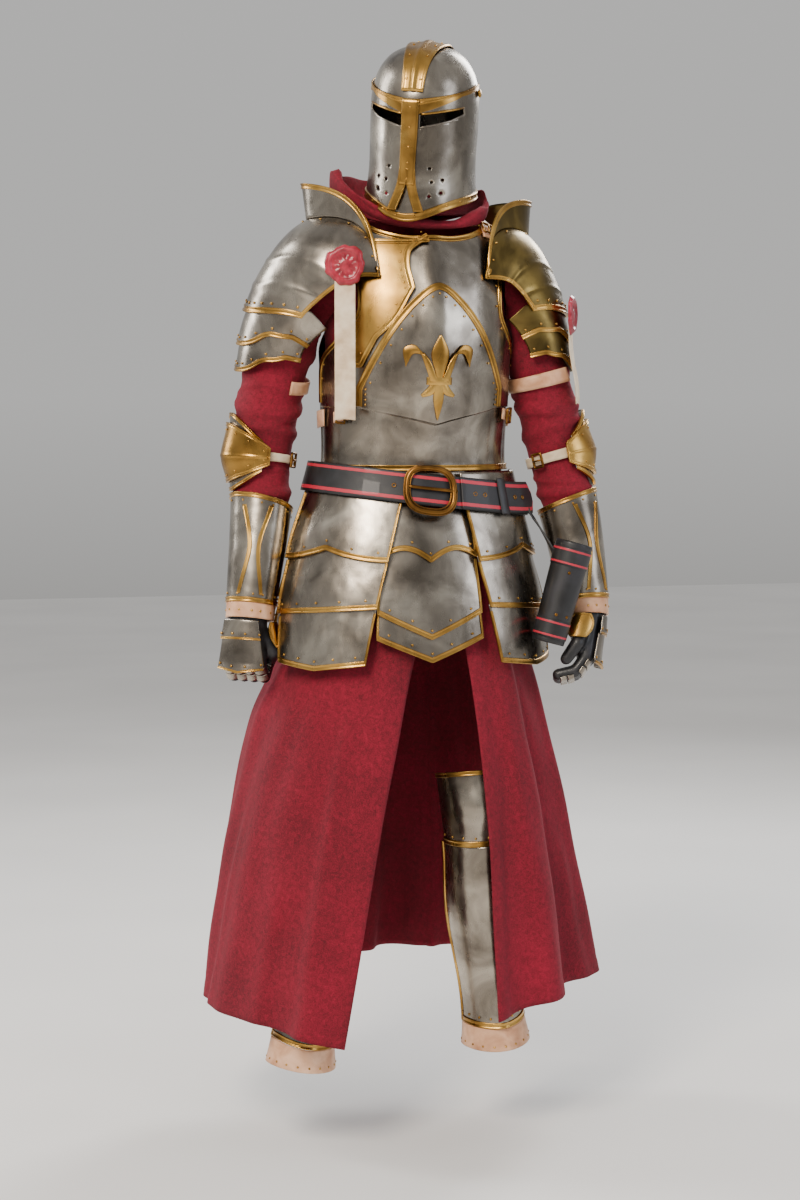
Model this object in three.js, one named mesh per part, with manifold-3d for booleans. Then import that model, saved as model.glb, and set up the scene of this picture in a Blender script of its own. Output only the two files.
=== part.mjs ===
// A worn suit of costume armour: a red robe with sleeves and a cowl, and over it a helm, a cuirass with
// lames and tassets, arm and leg plates, gloves and a belt with its frog. Millimetres, +Z up, facing -Y.
// The suit stands as if worn, hollow, with its origin between the shoulders, where a wearer carries it.
import * as THREE from "three";
import { ConvexGeometry } from "three/addons/geometries/ConvexGeometry.js";
import { mergeVertices } from "three/addons/utils/BufferGeometryUtils.js";
import Module from "manifold-3d";

const wasm = await Module();
wasm.setup();

// Driving dimensions
const ORIGIN_HEIGHT = 1500; // the shoulders' height above the floor
const CLOTH = 2;
const PLATE = 2.4;
const LEATHER = 3;
const BORDER = 1.8; // how far a brass border stands up from its plate
const FRONT_RADIUS = 160; // the trunk's radius at its front, for widths laid round it
const RIGHT = -1;
const LEFT = 1;
const DEGREE = Math.PI / 180;

// The trunk's section at each height, at the inner face of the metal plates.
const TRUNK = [
  { z: 1575, cx: -6, side: 66, front: 62, back: 66 },
  { z: 1556, cx: -6, side: 100, front: 72, back: 78 },
  { z: 1513, cx: -6, side: 152, front: 96, back: 94 },
  { z: 1470, cx: -6, side: 166, front: 114, back: 106 },
  { z: 1412, cx: -7, side: 166, front: 134, back: 114 },
  { z: 1330, cx: -8, side: 162, front: 140, back: 113 },
  { z: 1240, cx: -9, side: 159, front: 129, back: 105 },
  { z: 1144, cx: -10, side: 157, front: 111, back: 99 },
  { z: 1100, cx: -11, side: 166, front: 115, back: 106 },
  { z: 1000, cx: -16, side: 194, front: 138, back: 130 },
  { z: 890, cx: -18, side: 218, front: 152, back: 146 },
  { z: 780, cx: -18, side: 226, front: 160, back: 152 },
];

// Each arm's centre line from the shoulder to the fingers, with the sleeve's radius there.
const ARMS = {
  [RIGHT]: [
    { k: 0, x: 176, y: 2, z: 1430, r: 57 },
    { k: 1, x: 203, y: 16, z: 1385, r: 52 },
    { k: 2, x: 236, y: 30, z: 1310, r: 49 },
    { k: 3, x: 252, y: 43, z: 1232, r: 50 },
    { k: 4, x: 260, y: 50, z: 1150, r: 45 },
    { k: 5, x: 264, y: 40, z: 1085, r: 42 },
    { k: 6, x: 273, y: 26, z: 1020, r: 36 },
    { k: 7, x: 283, y: 14, z: 960, r: 33 },
    { k: 8, x: 292, y: 4, z: 900, r: 31 },
    { k: 9, x: 300, y: -5, z: 840, r: 34 },
  ],
  [LEFT]: [
    { k: 0, x: 158, y: 1, z: 1430, r: 56 },
    { k: 1, x: 180, y: -3, z: 1385, r: 50 },
    { k: 2, x: 206, y: -8, z: 1310, r: 46 },
    { k: 3, x: 228, y: -11, z: 1232, r: 48 },
    { k: 4, x: 243, y: -15, z: 1150, r: 44 },
    { k: 5, x: 256, y: -28, z: 1085, r: 41 },
    { k: 6, x: 266, y: -43, z: 1020, r: 36 },
    { k: 7, x: 272, y: -57, z: 960, r: 33 },
    { k: 8, x: 276, y: -71, z: 900, r: 31 },
    { k: 9, x: 274, y: -84, z: 840, r: 34 },
  ],
};

// Each shoulder guard's centre line from the neck over the shoulder and down, and its three radii.
const SHOULDERS = {
  [RIGHT]: [
    { k: 0, x: 88, y: 2, z: 1440, out: 106, front: 110, back: 104 },
    { k: 1, x: 142, y: 6, z: 1436, out: 112, front: 110, back: 104 },
    { k: 2, x: 194, y: 15, z: 1400, out: 90, front: 84, back: 88 },
    { k: 3, x: 229, y: 25, z: 1354, out: 68, front: 71, back: 74 },
    { k: 4, x: 243, y: 31, z: 1306, out: 62, front: 66, back: 68 },
    { k: 5, x: 250, y: 37, z: 1258, out: 61, front: 63, back: 66 },
  ],
  [LEFT]: [
    { k: 0, x: 76, y: 2, z: 1440, out: 102, front: 104, back: 104 },
    { k: 1, x: 124, y: 4, z: 1434, out: 106, front: 104, back: 104 },
    { k: 2, x: 166, y: 0, z: 1398, out: 84, front: 83, back: 88 },
    { k: 3, x: 194, y: -5, z: 1352, out: 66, front: 70, back: 74 },
    { k: 4, x: 208, y: -9, z: 1304, out: 60, front: 65, back: 68 },
    { k: 5, x: 217, y: -11, z: 1256, out: 60, front: 63, back: 66 },
  ],
};

// Each leg's centre line from above the knee to the ankle, with its radius.
const LEGS = {
  [RIGHT]: [
    { k: 0, x: 160, y: -56, z: 620, r: 66 },
    { k: 1, x: 168, y: -60, z: 545, r: 60 },
    { k: 2, x: 180, y: -62, z: 470, r: 56 },
    { k: 3, x: 198, y: -72, z: 370, r: 58 },
    { k: 4, x: 220, y: -96, z: 240, r: 47 },
    { k: 5, x: 232, y: -106, z: 175, r: 50 },
    { k: 6, x: 237, y: -109, z: 135, r: 56 },
  ],
  [LEFT]: [
    { k: 0, x: 70, y: -88, z: 640, r: 66 },
    { k: 1, x: 74, y: -96, z: 562, r: 60 },
    { k: 2, x: 80, y: -90, z: 485, r: 56 },
    { k: 3, x: 88, y: -86, z: 385, r: 58 },
    { k: 4, x: 100, y: -88, z: 255, r: 47 },
    { k: 5, x: 108, y: -90, z: 190, r: 50 },
    { k: 6, x: 112, y: -91, z: 148, r: 56 },
  ],
};

// The helm's section at each height above its rim, in its own frame.
const HELM = [
  { z: -34, cx: 0, side: 92, front: 121, back: 106 },
  { z: 0, cx: 0, side: 90, front: 120, back: 106 },
  { z: 50, cx: 0, side: 86, front: 113, back: 107 },
  { z: 120, cx: 0, side: 87, front: 108, back: 109 },
  { z: 172, cx: 0, side: 86, front: 105, back: 108 },
  { z: 203, cx: 0, side: 78, front: 95, back: 98 },
  { z: 227, cx: 0, side: 63, front: 77, back: 80 },
  { z: 241, cx: 0, side: 43, front: 53, back: 55 },
  { z: 248, cx: 0, side: 18, front: 22, back: 23 },
  { z: 250, cx: 0, side: 3, front: 4, back: 4 },
];

// The cowl's ring at each height from its outer hem, over the roll, down to the neck.
const COWL_CENTRE = -14;
const COWL = [
  { k: 0, side: 120, front: 90, back: 120, zSide: 1575, zFront: 1532, zBack: 1547 },
  { k: 1, side: 129, front: 99, back: 146, zSide: 1588, zFront: 1534, zBack: 1564 },
  { k: 2, side: 133, front: 105, back: 159, zSide: 1601, zFront: 1537, zBack: 1604 },
  { k: 3, side: 128, front: 101, back: 146, zSide: 1609, zFront: 1540, zBack: 1626 },
  { k: 4, side: 123, front: 94, back: 128, zSide: 1584, zFront: 1537, zBack: 1602 },
  { k: 5, side: 108, front: 84, back: 104, zSide: 1568, zFront: 1534, zBack: 1566 },
];
const COWL_TILT = 11; // how much higher the roll stands at the right side than in the middle
const NECK = { start: 1502, front: 0.3, side: 0.7, back: 1 }; // how high the neckline stands, by direction

// Numbers between the rows of a table, on a smooth curve through them.
function rowAt(table, key, value) {
  const rising = table[1][key] > table[0][key];
  const ahead = (row) => (rising ? row[key] > value : row[key] < value);
  let i = table.findIndex(ahead);
  if (i < 0) i = table.length - 1;
  i = Math.max(1, i);
  const [a, b] = [table[i - 1], table[i]];
  const before = table[i - 2] ?? a;
  const after = table[i + 1] ?? b;
  const span = b[key] - a[key];
  const u = (value - a[key]) / span;
  const row = {};
  for (const name of Object.keys(a)) {
    const slopeA = ((b[name] - before[name]) / (b[key] - before[key])) * span;
    const slopeB = ((after[name] - a[name]) / (after[key] - a[key])) * span;
    row[name] =
      (2 * u ** 3 - 3 * u ** 2 + 1) * a[name] +
      (u ** 3 - 2 * u ** 2 + u) * slopeA +
      (3 * u ** 2 - 2 * u ** 3) * b[name] +
      (u ** 3 - u ** 2) * slopeB;
  }
  return row;
}

const lerp = (a, b, t) => a + (b - a) * t;
const clamp01 = (t) => Math.min(1, Math.max(0, t));
const smooth = (t) => clamp01(t) ** 2 * (3 - 2 * clamp01(t));
const bump = (x, centre, width) => Math.exp(-(((x - centre) / width) ** 2));

// A form is a smooth surface point(u, v) round an axis; pieces lie on it or at a height above it.
function form(point, axis) {
  return { point, axis };
}

// The point of a form at u, v, moved out along the surface by a height.
function above({ point, axis }, u, v, height) {
  const [du, dv] = [0.4 * DEGREE, axis(u, v).step];
  const p = point(u, v);
  const across = point(u + du, v).sub(point(u - du, v));
  const down = point(u, v + dv).sub(point(u, v - dv));
  const normal = across.cross(down).normalize();
  if (normal.dot(p.clone().sub(axis(u, v).centre)) < 0) normal.negate();
  return p.addScaledVector(normal, height);
}

// Upright sections: u is the angle from the front towards the left side, v the height.
function uprightForm(table) {
  const row = (v) => rowAt(table, "z", v);
  return form(
    (u, v) => {
      const r = row(v);
      const depth = Math.cos(u) > 0 ? r.front : r.back;
      return new THREE.Vector3(r.cx + r.side * Math.sin(u), -depth * Math.cos(u), v);
    },
    (u, v) => ({ centre: new THREE.Vector3(row(v).cx, 0, v - 40), step: 1.5 }),
  );
}

// Sections across a limb's centre line: u turns from the front (0) outwards (90 degrees) to the back.
function limbForm(table, side, radii) {
  const centre = (v) => {
    const r = rowAt(table, "k", v);
    return new THREE.Vector3(side * r.x, r.y, r.z);
  };
  const frame = (v) => {
    const along = centre(v + 0.15).sub(centre(v - 0.15)).normalize();
    const front = new THREE.Vector3(0, -1, 0).addScaledVector(along, along.y).normalize();
    const out = new THREE.Vector3().crossVectors(front, along).multiplyScalar(side).normalize();
    return { front, out };
  };
  const limb = form(
    (u, v) => {
      const { front, out } = frame(v);
      const [f, o] = radii(rowAt(table, "k", v), u, v);
      return centre(v)
        .addScaledVector(front, f * Math.cos(u))
        .addScaledVector(out, o * Math.sin(u));
    },
    (u, v) => ({ centre: centre(v), step: 0.04 }),
  );
  return { ...limb, frame };
}

const trunk = uprightForm(TRUNK);
const helm = uprightForm(HELM);
const roundArm = (row) => [row.r, row.r];
const arm = { [RIGHT]: limbForm(ARMS[RIGHT], RIGHT, roundArm), [LEFT]: limbForm(ARMS[LEFT], LEFT, roundArm) };
const leg = { [RIGHT]: limbForm(LEGS[RIGHT], RIGHT, roundArm), [LEFT]: limbForm(LEGS[LEFT], LEFT, roundArm) };
const guardRadii = (row, u) => [Math.cos(u) > 0 ? row.front : row.back, row.out];
const shoulder = {
  [RIGHT]: limbForm(SHOULDERS[RIGHT], RIGHT, guardRadii),
  [LEFT]: limbForm(SHOULDERS[LEFT], LEFT, guardRadii),
};
function cowlPoint(u, v) {
  const r = rowAt(COWL, "k", v);
  const c = Math.cos(u);
  const depth = c > 0 ? r.front : r.back;
  const swell = Math.sin((Math.PI * v) / 5);
  const tilt = -COWL_TILT * Math.sin(u) * Math.abs(Math.sin(u)) * swell ** 2;
  const z = lerp(r.zSide, c > 0 ? r.zFront : r.zBack, Math.abs(c)) + tilt;
  const fold = 3 * Math.sin(3 * u + 1.7 * v) * swell;
  return new THREE.Vector3(COWL_CENTRE + (r.side + fold) * Math.sin(u), -(depth + fold) * c, z);
}

// Values from a to b in equal steps.
const steps = (n, a = 0, b = 1) => Array.from({ length: n + 1 }, (_, i) => lerp(a, b, i / n));

// A closed wall between an outer and an inner grid of points; a tube's last column meets its first.
function wall(outer, inner, isTube = false) {
  const [rows, columns] = [outer.length, outer[0].length];
  const index = new Map();
  const positions = [];
  const idOf = (p) => {
    const key = p.toArray().map((c) => Math.round(c * 200)).join();
    if (!index.has(key)) {
      index.set(key, index.size);
      positions.push(p.x, p.y, p.z);
    }
    return index.get(key);
  };
  const faces = [];
  const triangle = (a, b, c) => {
    const ids = [idOf(a), idOf(b), idOf(c)];
    if (new Set(ids).size === 3) faces.push(...ids);
  };
  const quad = (a, b, c, d) => {
    triangle(a, b, c);
    triangle(a, c, d);
  };
  const wraps = isTube ? columns : columns - 1;
  for (let j = 0; j < wraps; j++) {
    const n = (j + 1) % columns;
    for (let i = 0; i < rows - 1; i++) {
      quad(outer[i][j], outer[i + 1][j], outer[i + 1][n], outer[i][n]);
      quad(inner[i][j], inner[i][n], inner[i + 1][n], inner[i + 1][j]);
    }
    const last = rows - 1;
    quad(outer[0][j], outer[0][n], inner[0][n], inner[0][j]);
    quad(outer[last][j], inner[last][j], inner[last][n], outer[last][n]);
  }
  if (!isTube) {
    const last = columns - 1;
    for (let i = 0; i < rows - 1; i++) {
      quad(outer[i][0], inner[i][0], inner[i + 1][0], outer[i + 1][0]);
      quad(outer[i][last], outer[i + 1][last], inner[i + 1][last], inner[i][last]);
    }
  }
  const geometry = new THREE.BufferGeometry();
  geometry.setAttribute("position", new THREE.Float32BufferAttribute(positions, 3));
  geometry.setIndex(faces);
  return facingOut(geometry);
}

// The same geometry with its faces turned outwards.
function facingOut(geometry) {
  const position = geometry.getAttribute("position");
  const index = geometry.index.array;
  const corner = (i) => new THREE.Vector3().fromBufferAttribute(position, index[i]);
  let volume = 0;
  for (let i = 0; i < index.length; i += 3) {
    volume += corner(i).dot(corner(i + 1).cross(corner(i + 2)));
  }
  if (volume < 0) index.reverse();
  return geometry;
}

// A sheet on a form: at(s, t) gives the form's two coordinates, lift(s, t) its inner face's height, and
// raise(s, t) what stands up from its outer face.
function sheet({ on, at, lift, thick, raise = () => 0, across, down, isTube = false, shift = (p) => p }) {
  const grid = (heightOf) =>
    down.map((t) =>
      across.map((s) => {
        const [u, v] = at(s, t);
        const height = heightOf(s, t);
        return shift(above(on, u, v, height), s, t, height);
      }),
    );
  const outer = grid((s, t) => lift(s, t) + thick + raise(s, t));
  const inner = grid(lift);
  return wall(outer, inner, isTube);
}

// manifold-3d is used only to join or cut finished geometries.
function toSolid(geometry) {
  const bare = geometry.clone();
  bare.deleteAttribute("normal");
  bare.deleteAttribute("uv");
  const merged = mergeVertices(bare, 1e-3);
  const vertProperties = new Float32Array(merged.getAttribute("position").array);
  const triVerts = new Uint32Array(merged.index.array);
  return new wasm.Manifold(new wasm.Mesh({ numProp: 3, vertProperties, triVerts }));
}

function fromSolid(solid) {
  const mesh = solid.getMesh();
  const geometry = new THREE.BufferGeometry();
  geometry.setAttribute("position", new THREE.BufferAttribute(new Float32Array(mesh.vertProperties), 3));
  return geometry.setIndex(new THREE.BufferAttribute(new Uint32Array(mesh.triVerts), 1));
}

const joined = (geometries) => fromSolid(geometries.map(toSolid).reduce((all, one) => all.add(one)));
const cut = (geometry, tools) =>
  fromSolid(tools.reduce((solid, tool) => solid.subtract(toSolid(tool)), toSolid(geometry)));

const MATERIALS = {
  steel: new THREE.MeshStandardMaterial({ color: 0x8b8680, roughness: 0.28, metalness: 1 }),
  brass: new THREE.MeshStandardMaterial({ color: 0xb08a45, roughness: 0.3, metalness: 1 }),
  cloth: new THREE.MeshStandardMaterial({ color: 0x9c1030, roughness: 0.95, metalness: 0 }),
  tan: new THREE.MeshStandardMaterial({ color: 0xd8a98a, roughness: 0.7, metalness: 0 }),
  black: new THREE.MeshStandardMaterial({ color: 0x16151a, roughness: 0.5, metalness: 0 }),
  wax: new THREE.MeshStandardMaterial({ color: 0xa01830, roughness: 0.4, metalness: 0 }),
};

const group = new THREE.Group();
group.name = "larp_armour";
const suit = new THREE.Group();
suit.name = "suit";
suit.position.z = -ORIGIN_HEIGHT;
group.add(suit);

function add(name, geometry, material, parent = suit) {
  geometry.computeVertexNormals();
  const mesh = new THREE.Mesh(geometry, MATERIALS[material]);
  mesh.name = name;
  parent.add(mesh);
}

const nameOf = (side) => (side === RIGHT ? "right" : "left");

// Robe: two front panels open at the centre and one back panel, each from the shoulder to the hem.
const ROBE_LIFT = -11;
const WAIST = 1095;
const ARMHOLE = { z: 1442, height: 59, angle: 31 * DEGREE };
const SEAM = 0.14 * DEGREE;

// Each panel's two edges and middle below the waist: angles from the front, and distances from the axis.
const SKIRT = {
  frontRight: [
    { z: 1095, a0: -1, a1: -90, r0: 102, rm: 118, r1: 152, wave: 0 },
    { z: 1000, a0: -4, a1: -94, r0: 122, rm: 142, r1: 185, wave: 1 },
    { z: 890, a0: -12, a1: -104, r0: 136, rm: 168, r1: 206, wave: 2 },
    { z: 790, a0: -21, a1: -108, r0: 151, rm: 212, r1: 258, wave: 4 },
    { z: 700, a0: -26, a1: -111, r0: 178, rm: 246, r1: 292, wave: 5 },
    { z: 540, a0: -32, a1: -115, r0: 222, rm: 290, r1: 330, wave: 6 },
    { z: 360, a0: -36, a1: -118, r0: 266, rm: 326, r1: 360, wave: 8 },
    { z: 200, a0: -39, a1: -120, r0: 304, rm: 352, r1: 386, wave: 11 },
  ],
  frontLeft: [
    { z: 1095, a0: 1, a1: 90, r0: 102, rm: 112, r1: 140, wave: 0 },
    { z: 1000, a0: 4, a1: 93, r0: 122, rm: 130, r1: 160, wave: 1 },
    { z: 890, a0: 12, a1: 95, r0: 140, rm: 152, r1: 178, wave: 2 },
    { z: 790, a0: 17, a1: 95, r0: 156, rm: 176, r1: 200, wave: 4 },
    { z: 700, a0: 18, a1: 96, r0: 174, rm: 196, r1: 222, wave: 5 },
    { z: 540, a0: 18, a1: 98, r0: 204, rm: 226, r1: 268, wave: 8 },
    { z: 380, a0: 17, a1: 102, r0: 226, rm: 250, r1: 312, wave: 10 },
    { z: 228, a0: 17, a1: 106, r0: 240, rm: 268, r1: 362, wave: 12 },
  ],
  back: [
    { z: 1095, a0: 90, a1: 270, r0: 140, rm: 94, r1: 152, wave: 0 },
    { z: 1000, a0: 94, a1: 265, r0: 160, rm: 118, r1: 184, wave: 1 },
    { z: 890, a0: 96, a1: 255, r0: 176, rm: 130, r1: 205, wave: 1 },
    { z: 790, a0: 96.5, a1: 251, r0: 200, rm: 150, r1: 248, wave: 4 },
    { z: 700, a0: 97.5, a1: 248, r0: 221, rm: 168, r1: 290, wave: 9 },
    { z: 540, a0: 100, a1: 244, r0: 262, rm: 192, r1: 326, wave: 12 },
    { z: 400, a0: 104, a1: 241, r0: 298, rm: 212, r1: 350, wave: 15 },
    { z: 262, a0: 108, a1: 239, r0: 345, rm: 226, r1: 372, wave: 18 },
  ],
};
const PANELS = {
  frontRight: { a0: -0.25 * DEGREE, a1: -90 * DEGREE + SEAM, folds: 2.2, phase: 0.6 },
  frontLeft: { a0: 0.25 * DEGREE, a1: 90 * DEGREE - SEAM, folds: 2.6, phase: 2.2 },
  back: { a0: 90 * DEGREE + SEAM, a1: 270 * DEGREE - SEAM, folds: 4.5, phase: 0.2 },
};
const SKIRT_BLEND = 60; // how far below the waist the panel passes from the trunk's form to the skirt's

// The angle that an armhole takes from a panel's side edge at a height.
function armholeAngle(z) {
  const h = (z - ARMHOLE.z) / ARMHOLE.height;
  return Math.abs(h) < 1 ? ARMHOLE.angle * Math.sqrt(1 - h * h) : 0;
}

function trimmed(a, z) {
  const take = armholeAngle(z);
  const away = (edge) => Math.abs(a - edge) < 1 * DEGREE;
  const edges = [-90, 90, 270].map((d) => d * DEGREE);
  return edges.some(away) ? take : 0;
}

function skirtPoint(name, s, z) {
  const r = rowAt(SKIRT[name], "z", z);
  const { folds, phase } = PANELS[name];
  const angle = lerp(r.a0, r.a1, s) * DEGREE;
  const middle = 4 * s * (1 - s);
  const sag = (r.rm - (r.r0 + r.r1) / 2) * middle;
  const fold = r.wave * Math.sin(2 * Math.PI * folds * s + phase) * Math.min(1, 1.5 * middle + 0.25);
  const reach = lerp(r.r0, r.r1, s) + sag + fold;
  return new THREE.Vector3(reach * Math.sin(angle), -reach * Math.cos(angle), z);
}

// Above the neck's start the panel's rows close up towards the front, so the neckline dips there.
function neckHeight(a, z) {
  if (z < NECK.start) return z;
  const c = Math.cos(a);
  const share = lerp(NECK.side, c > 0 ? NECK.front : NECK.back, c * c);
  return NECK.start + (z - NECK.start) * share;
}

const robeForm = (name) =>
  form(
    (s, z) => {
      const { a0, a1 } = PANELS[name];
      const a = panelAngle(a0, a1, s, z);
      const height = neckHeight(a, z);
      const bodice = above(trunk, a, Math.max(height, WAIST - SKIRT_BLEND), ROBE_LIFT);
      if (z >= WAIST) return bodice;
      bodice.z = z;
      return bodice.lerp(skirtPoint(name, s, z), smooth((WAIST - z) / SKIRT_BLEND));
    },
    (s, z) => ({ centre: new THREE.Vector3(-8, 0, z - 30), step: 2 }),
  );

function panelAngle(a0, a1, s, z) {
  const [take0, take1] = [trimmed(a0, z), trimmed(a1, z)];
  const turn = Math.sign(a1 - a0);
  return lerp(a0 + turn * take0, a1 - turn * take1, s);
}

const ROBE_ROWS = [1566, 1532, 1501, 1482, 1435, 1388, 1369, 1250, 1095];
const SKIRT_ROWS = [1035, 955, 880, 800, 705, 580, 440];

function robePanel(nodeName, name, columns, hem) {
  const on = robeForm(name);
  const hemDrop = (s, t) => lerp(hem[0], hem[1], s) + hem[2] * Math.sin(Math.PI * s) * t;
  const heights = [...ROBE_ROWS, ...SKIRT_ROWS, 310, null];
  const geometry = sheet({
    on,
    at: (s, z) => [s, z ?? hemDrop(s, 1)],
    lift: () => 0,
    thick: CLOTH,
    across: steps(columns),
    down: heights,
  });
  add(nodeName, geometry, "cloth");
}

robePanel("robe_front_right", "frontRight", 8, [191, 214, 16]);
robePanel("robe_front_left", "frontLeft", 8, [218, 246, 12]);
robePanel("robe_back", "back", 11, [248, 236, 14]);

// The cowl: the robe's hood, rolled back round the neck under the helm, its layers as one thick roll.
const COWL_OUTSIDE = [0, 1, 2, 2.8];
const COWL_INSIDE = [5, 4.5, 4, 3.2];

function addCowl() {
  const around = steps(16, 0, 2 * Math.PI).slice(0, -1);
  const ringsAt = (rows) => rows.map((v) => around.map((u) => cowlPoint(u, v)));
  add("cowl", wall(ringsAt(COWL_OUTSIDE), ringsAt(COWL_INSIDE), true), "cloth");
}
addCowl();

// Sleeves: each grows from its armhole, gathers above the elbow strap and puffs over the forearm guard.
const SLEEVE_FOLDS = [
  { k: 1.6, height: 4, turn: 1.4, width: 0.15 },
  { k: 2.4, height: 5, turn: 2.6, width: 0.14 },
  { k: 2.95, height: 6, turn: 0.9, width: 0.12 },
  { k: 3.45, height: 5, turn: 4.1, width: 0.1 },
  { k: 4.95, height: 6, turn: 1.1, width: 0.12 },
];
const CUFF = 6.2;
const foldRows = SLEEVE_FOLDS.flatMap((fold) => [fold.k, fold.k + fold.width * 1.9]);
const SLEEVE_ROWS = [0, 0.35, 0.75, 1.2, ...foldRows, 4.2, 5.4, CUFF].sort((a, b) => a - b);
const SLEEVE_CLEARANCE = 4;
const ROBE_FACE = ROBE_LIFT + CLOTH + SLEEVE_CLEARANCE;
const PLATE_FACE = 10;

// How far from the trunk's form a sleeve keeps: clear of the plates, and above them clear of the robe.
const sleeveFace = (z) => lerp(PLATE_FACE, ROBE_FACE, smooth((z - 1340) / 60));

// A point moved sideways until it is clear of the trunk.
function besideTrunk(p, side) {
  const r = rowAt(TRUNK, "z", p.z);
  const height = sleeveFace(p.z);
  const depth = (p.y < 0 ? r.front : r.back) + height;
  const x = r.cx + side * (r.side + height) * Math.sqrt(clamp01(1 - (p.y / depth) ** 2));
  if ((p.x - x) * side < 0) p.x = x;
  return p;
}

function sleeveForm(side) {
  const armhole = (u) => {
    const angle = side * (90 * DEGREE - ARMHOLE.angle * Math.cos(u));
    return above(trunk, angle, ARMHOLE.z + ARMHOLE.height * Math.sin(u), ROBE_FACE);
  };
  const folds = (u, v) =>
    SLEEVE_FOLDS.reduce((sum, f) => sum + f.height * bump(v, f.k + 0.12 * Math.sin(u + f.turn), f.width), 0);
  return form(
    (u, v) => {
      const ring = above(arm[side], u, Math.max(v, 0.01), folds(u, v));
      return besideTrunk(armhole(u).lerp(ring, smooth(v / 0.9)), side);
    },
    (u, v) => ({ centre: arm[side].axis(u, Math.max(v, 0.3)).centre, step: 0.03 }),
  );
}

for (const side of [RIGHT, LEFT]) {
  const geometry = sheet({
    on: sleeveForm(side),
    at: (s, v) => [2 * Math.PI * s, v],
    lift: () => 0,
    thick: CLOTH,
    across: steps(10).slice(0, -1),
    down: SLEEVE_ROWS,
    isTube: true,
  });
  add("sleeve_" + nameOf(side), geometry, "cloth");
}

// Rows that keep a narrow one for the border along the last edge.
const borderRows = (n, width) => [...steps(n, 0, 1 - width), 1 - 0.6 * width, 1];
const lastEdge = (width) => (s, t) => (t > 1 - 0.8 * width ? BORDER : 0);

// A strip on a form: each row of its path has its middle u (degrees) and v, and half its width along each.
function strip({ on, path, lift, thick, raise = () => 0, across = [0, 1], rows = 6 }) {
  const table = path.map((row, k) => ({ k, ...row }));
  const at = (s, t) => {
    const r = rowAt(table, "k", t * (table.length - 1));
    return [(r.u + (2 * s - 1) * r.wu) * DEGREE, r.v + (2 * s - 1) * r.wv];
  };
  return sheet({ on, at, lift: () => lift, thick, raise, across, down: steps(rows) });
}

// A plate with its edges' u in degrees and rows of lames: each lame steps out to its border, then back.
function lames({ on, left, right, levels, lift, step, columns, thick = PLATE }) {
  const rows = [{ level: 0, out: 0, edge: 0 }];
  for (let k = 1; k < levels.length; k++) {
    rows.push({ level: k - 0.16, out: step, edge: 0 });
    rows.push({ level: k - 0.11, out: step, edge: BORDER });
    rows.push({ level: k, out: step, edge: BORDER });
    if (k < levels.length - 1) rows.push({ level: k + 0.03, out: 0.2 * step, edge: 0 });
  }
  const at = (s, row) => {
    const k = Math.min(levels.length - 2, Math.floor(row.level));
    const v = lerp(levels[k](s), levels[k + 1](s), row.level - k);
    return [lerp(left(v), right(v), s) * DEGREE, v];
  };
  return sheet({
    on,
    at,
    lift: (s, row) => lift + row.out,
    thick,
    raise: (s, row) => row.edge,
    across: steps(columns),
    down: rows,
  });
}

// Helm: a shell with eye slits and breath holes, a crest band, a brow band and a nasal band.
const HELM_PLACE = { x: 0, y: -18, z: 1588, pitch: 12, roll: 5, yaw: -28 };
const HELM_TOP = 250;
const CHIN_DIP = 24;
const HELM_HEIGHTS = [0, 9, 45, 95, 140, 176, 200, 219, 234, 244, HELM_TOP];
const SLIT = [
  { x: 14, z: 149 },
  { x: 77, z: 158 },
  { x: 78, z: 147 },
  { x: 60, z: 138 },
  { x: 14, z: 127 },
];
const BREATH_HOLES = [
  { x: 34, z: 62 },
  { x: 38, z: 40 },
  { x: 54, z: 43 },
  { x: 36, z: 17 },
  { x: 53, z: 22 },
];
const HOLE_RADIUS = 2.6;

const helmet = new THREE.Group();
helmet.name = "helmet";
helmet.position.set(HELM_PLACE.x, HELM_PLACE.y, HELM_PLACE.z);
const turned = [HELM_PLACE.pitch, HELM_PLACE.roll, HELM_PLACE.yaw].map((angle) => angle * DEGREE);
helmet.rotation.set(...turned, "ZYX");
suit.add(helmet);

function chinDip(u, z) {
  const fromFront = Math.atan2(Math.sin(u), Math.cos(u));
  return -CHIN_DIP * bump(fromFront, 0, 0.62) * clamp01(1 - z / 70);
}

function addHelmShell() {
  const geometry = sheet({
    on: helm,
    at: (s, z) => [2 * Math.PI * s, z + chinDip(2 * Math.PI * s, z)],
    lift: () => 0,
    thick: PLATE,
    raise: (s, z) => (z < 12 ? BORDER : 0),
    across: steps(18).slice(0, -1),
    down: HELM_HEIGHTS,
    isTube: true,
    shift: (p, s, z, height) => (z === HELM_TOP ? new THREE.Vector3(0, 0, HELM_TOP + height) : p),
  });
  const slits = [-1, 1].map((side) => {
    const corners = SLIT.flatMap(({ x, z }) => [-170, -30].map((y) => new THREE.Vector3(side * x, y, z)));
    return new ConvexGeometry(corners);
  });
  const holes = [-1, 1].flatMap((side) =>
    BREATH_HOLES.map(({ x, z }) =>
      new THREE.CylinderGeometry(HOLE_RADIUS, HOLE_RADIUS, 100, 6).translate(side * x, -100, z),
    ),
  );
  add("helm_shell", cut(geometry, [...slits, ...holes]), "steel", helmet);
}
addHelmShell();

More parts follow.
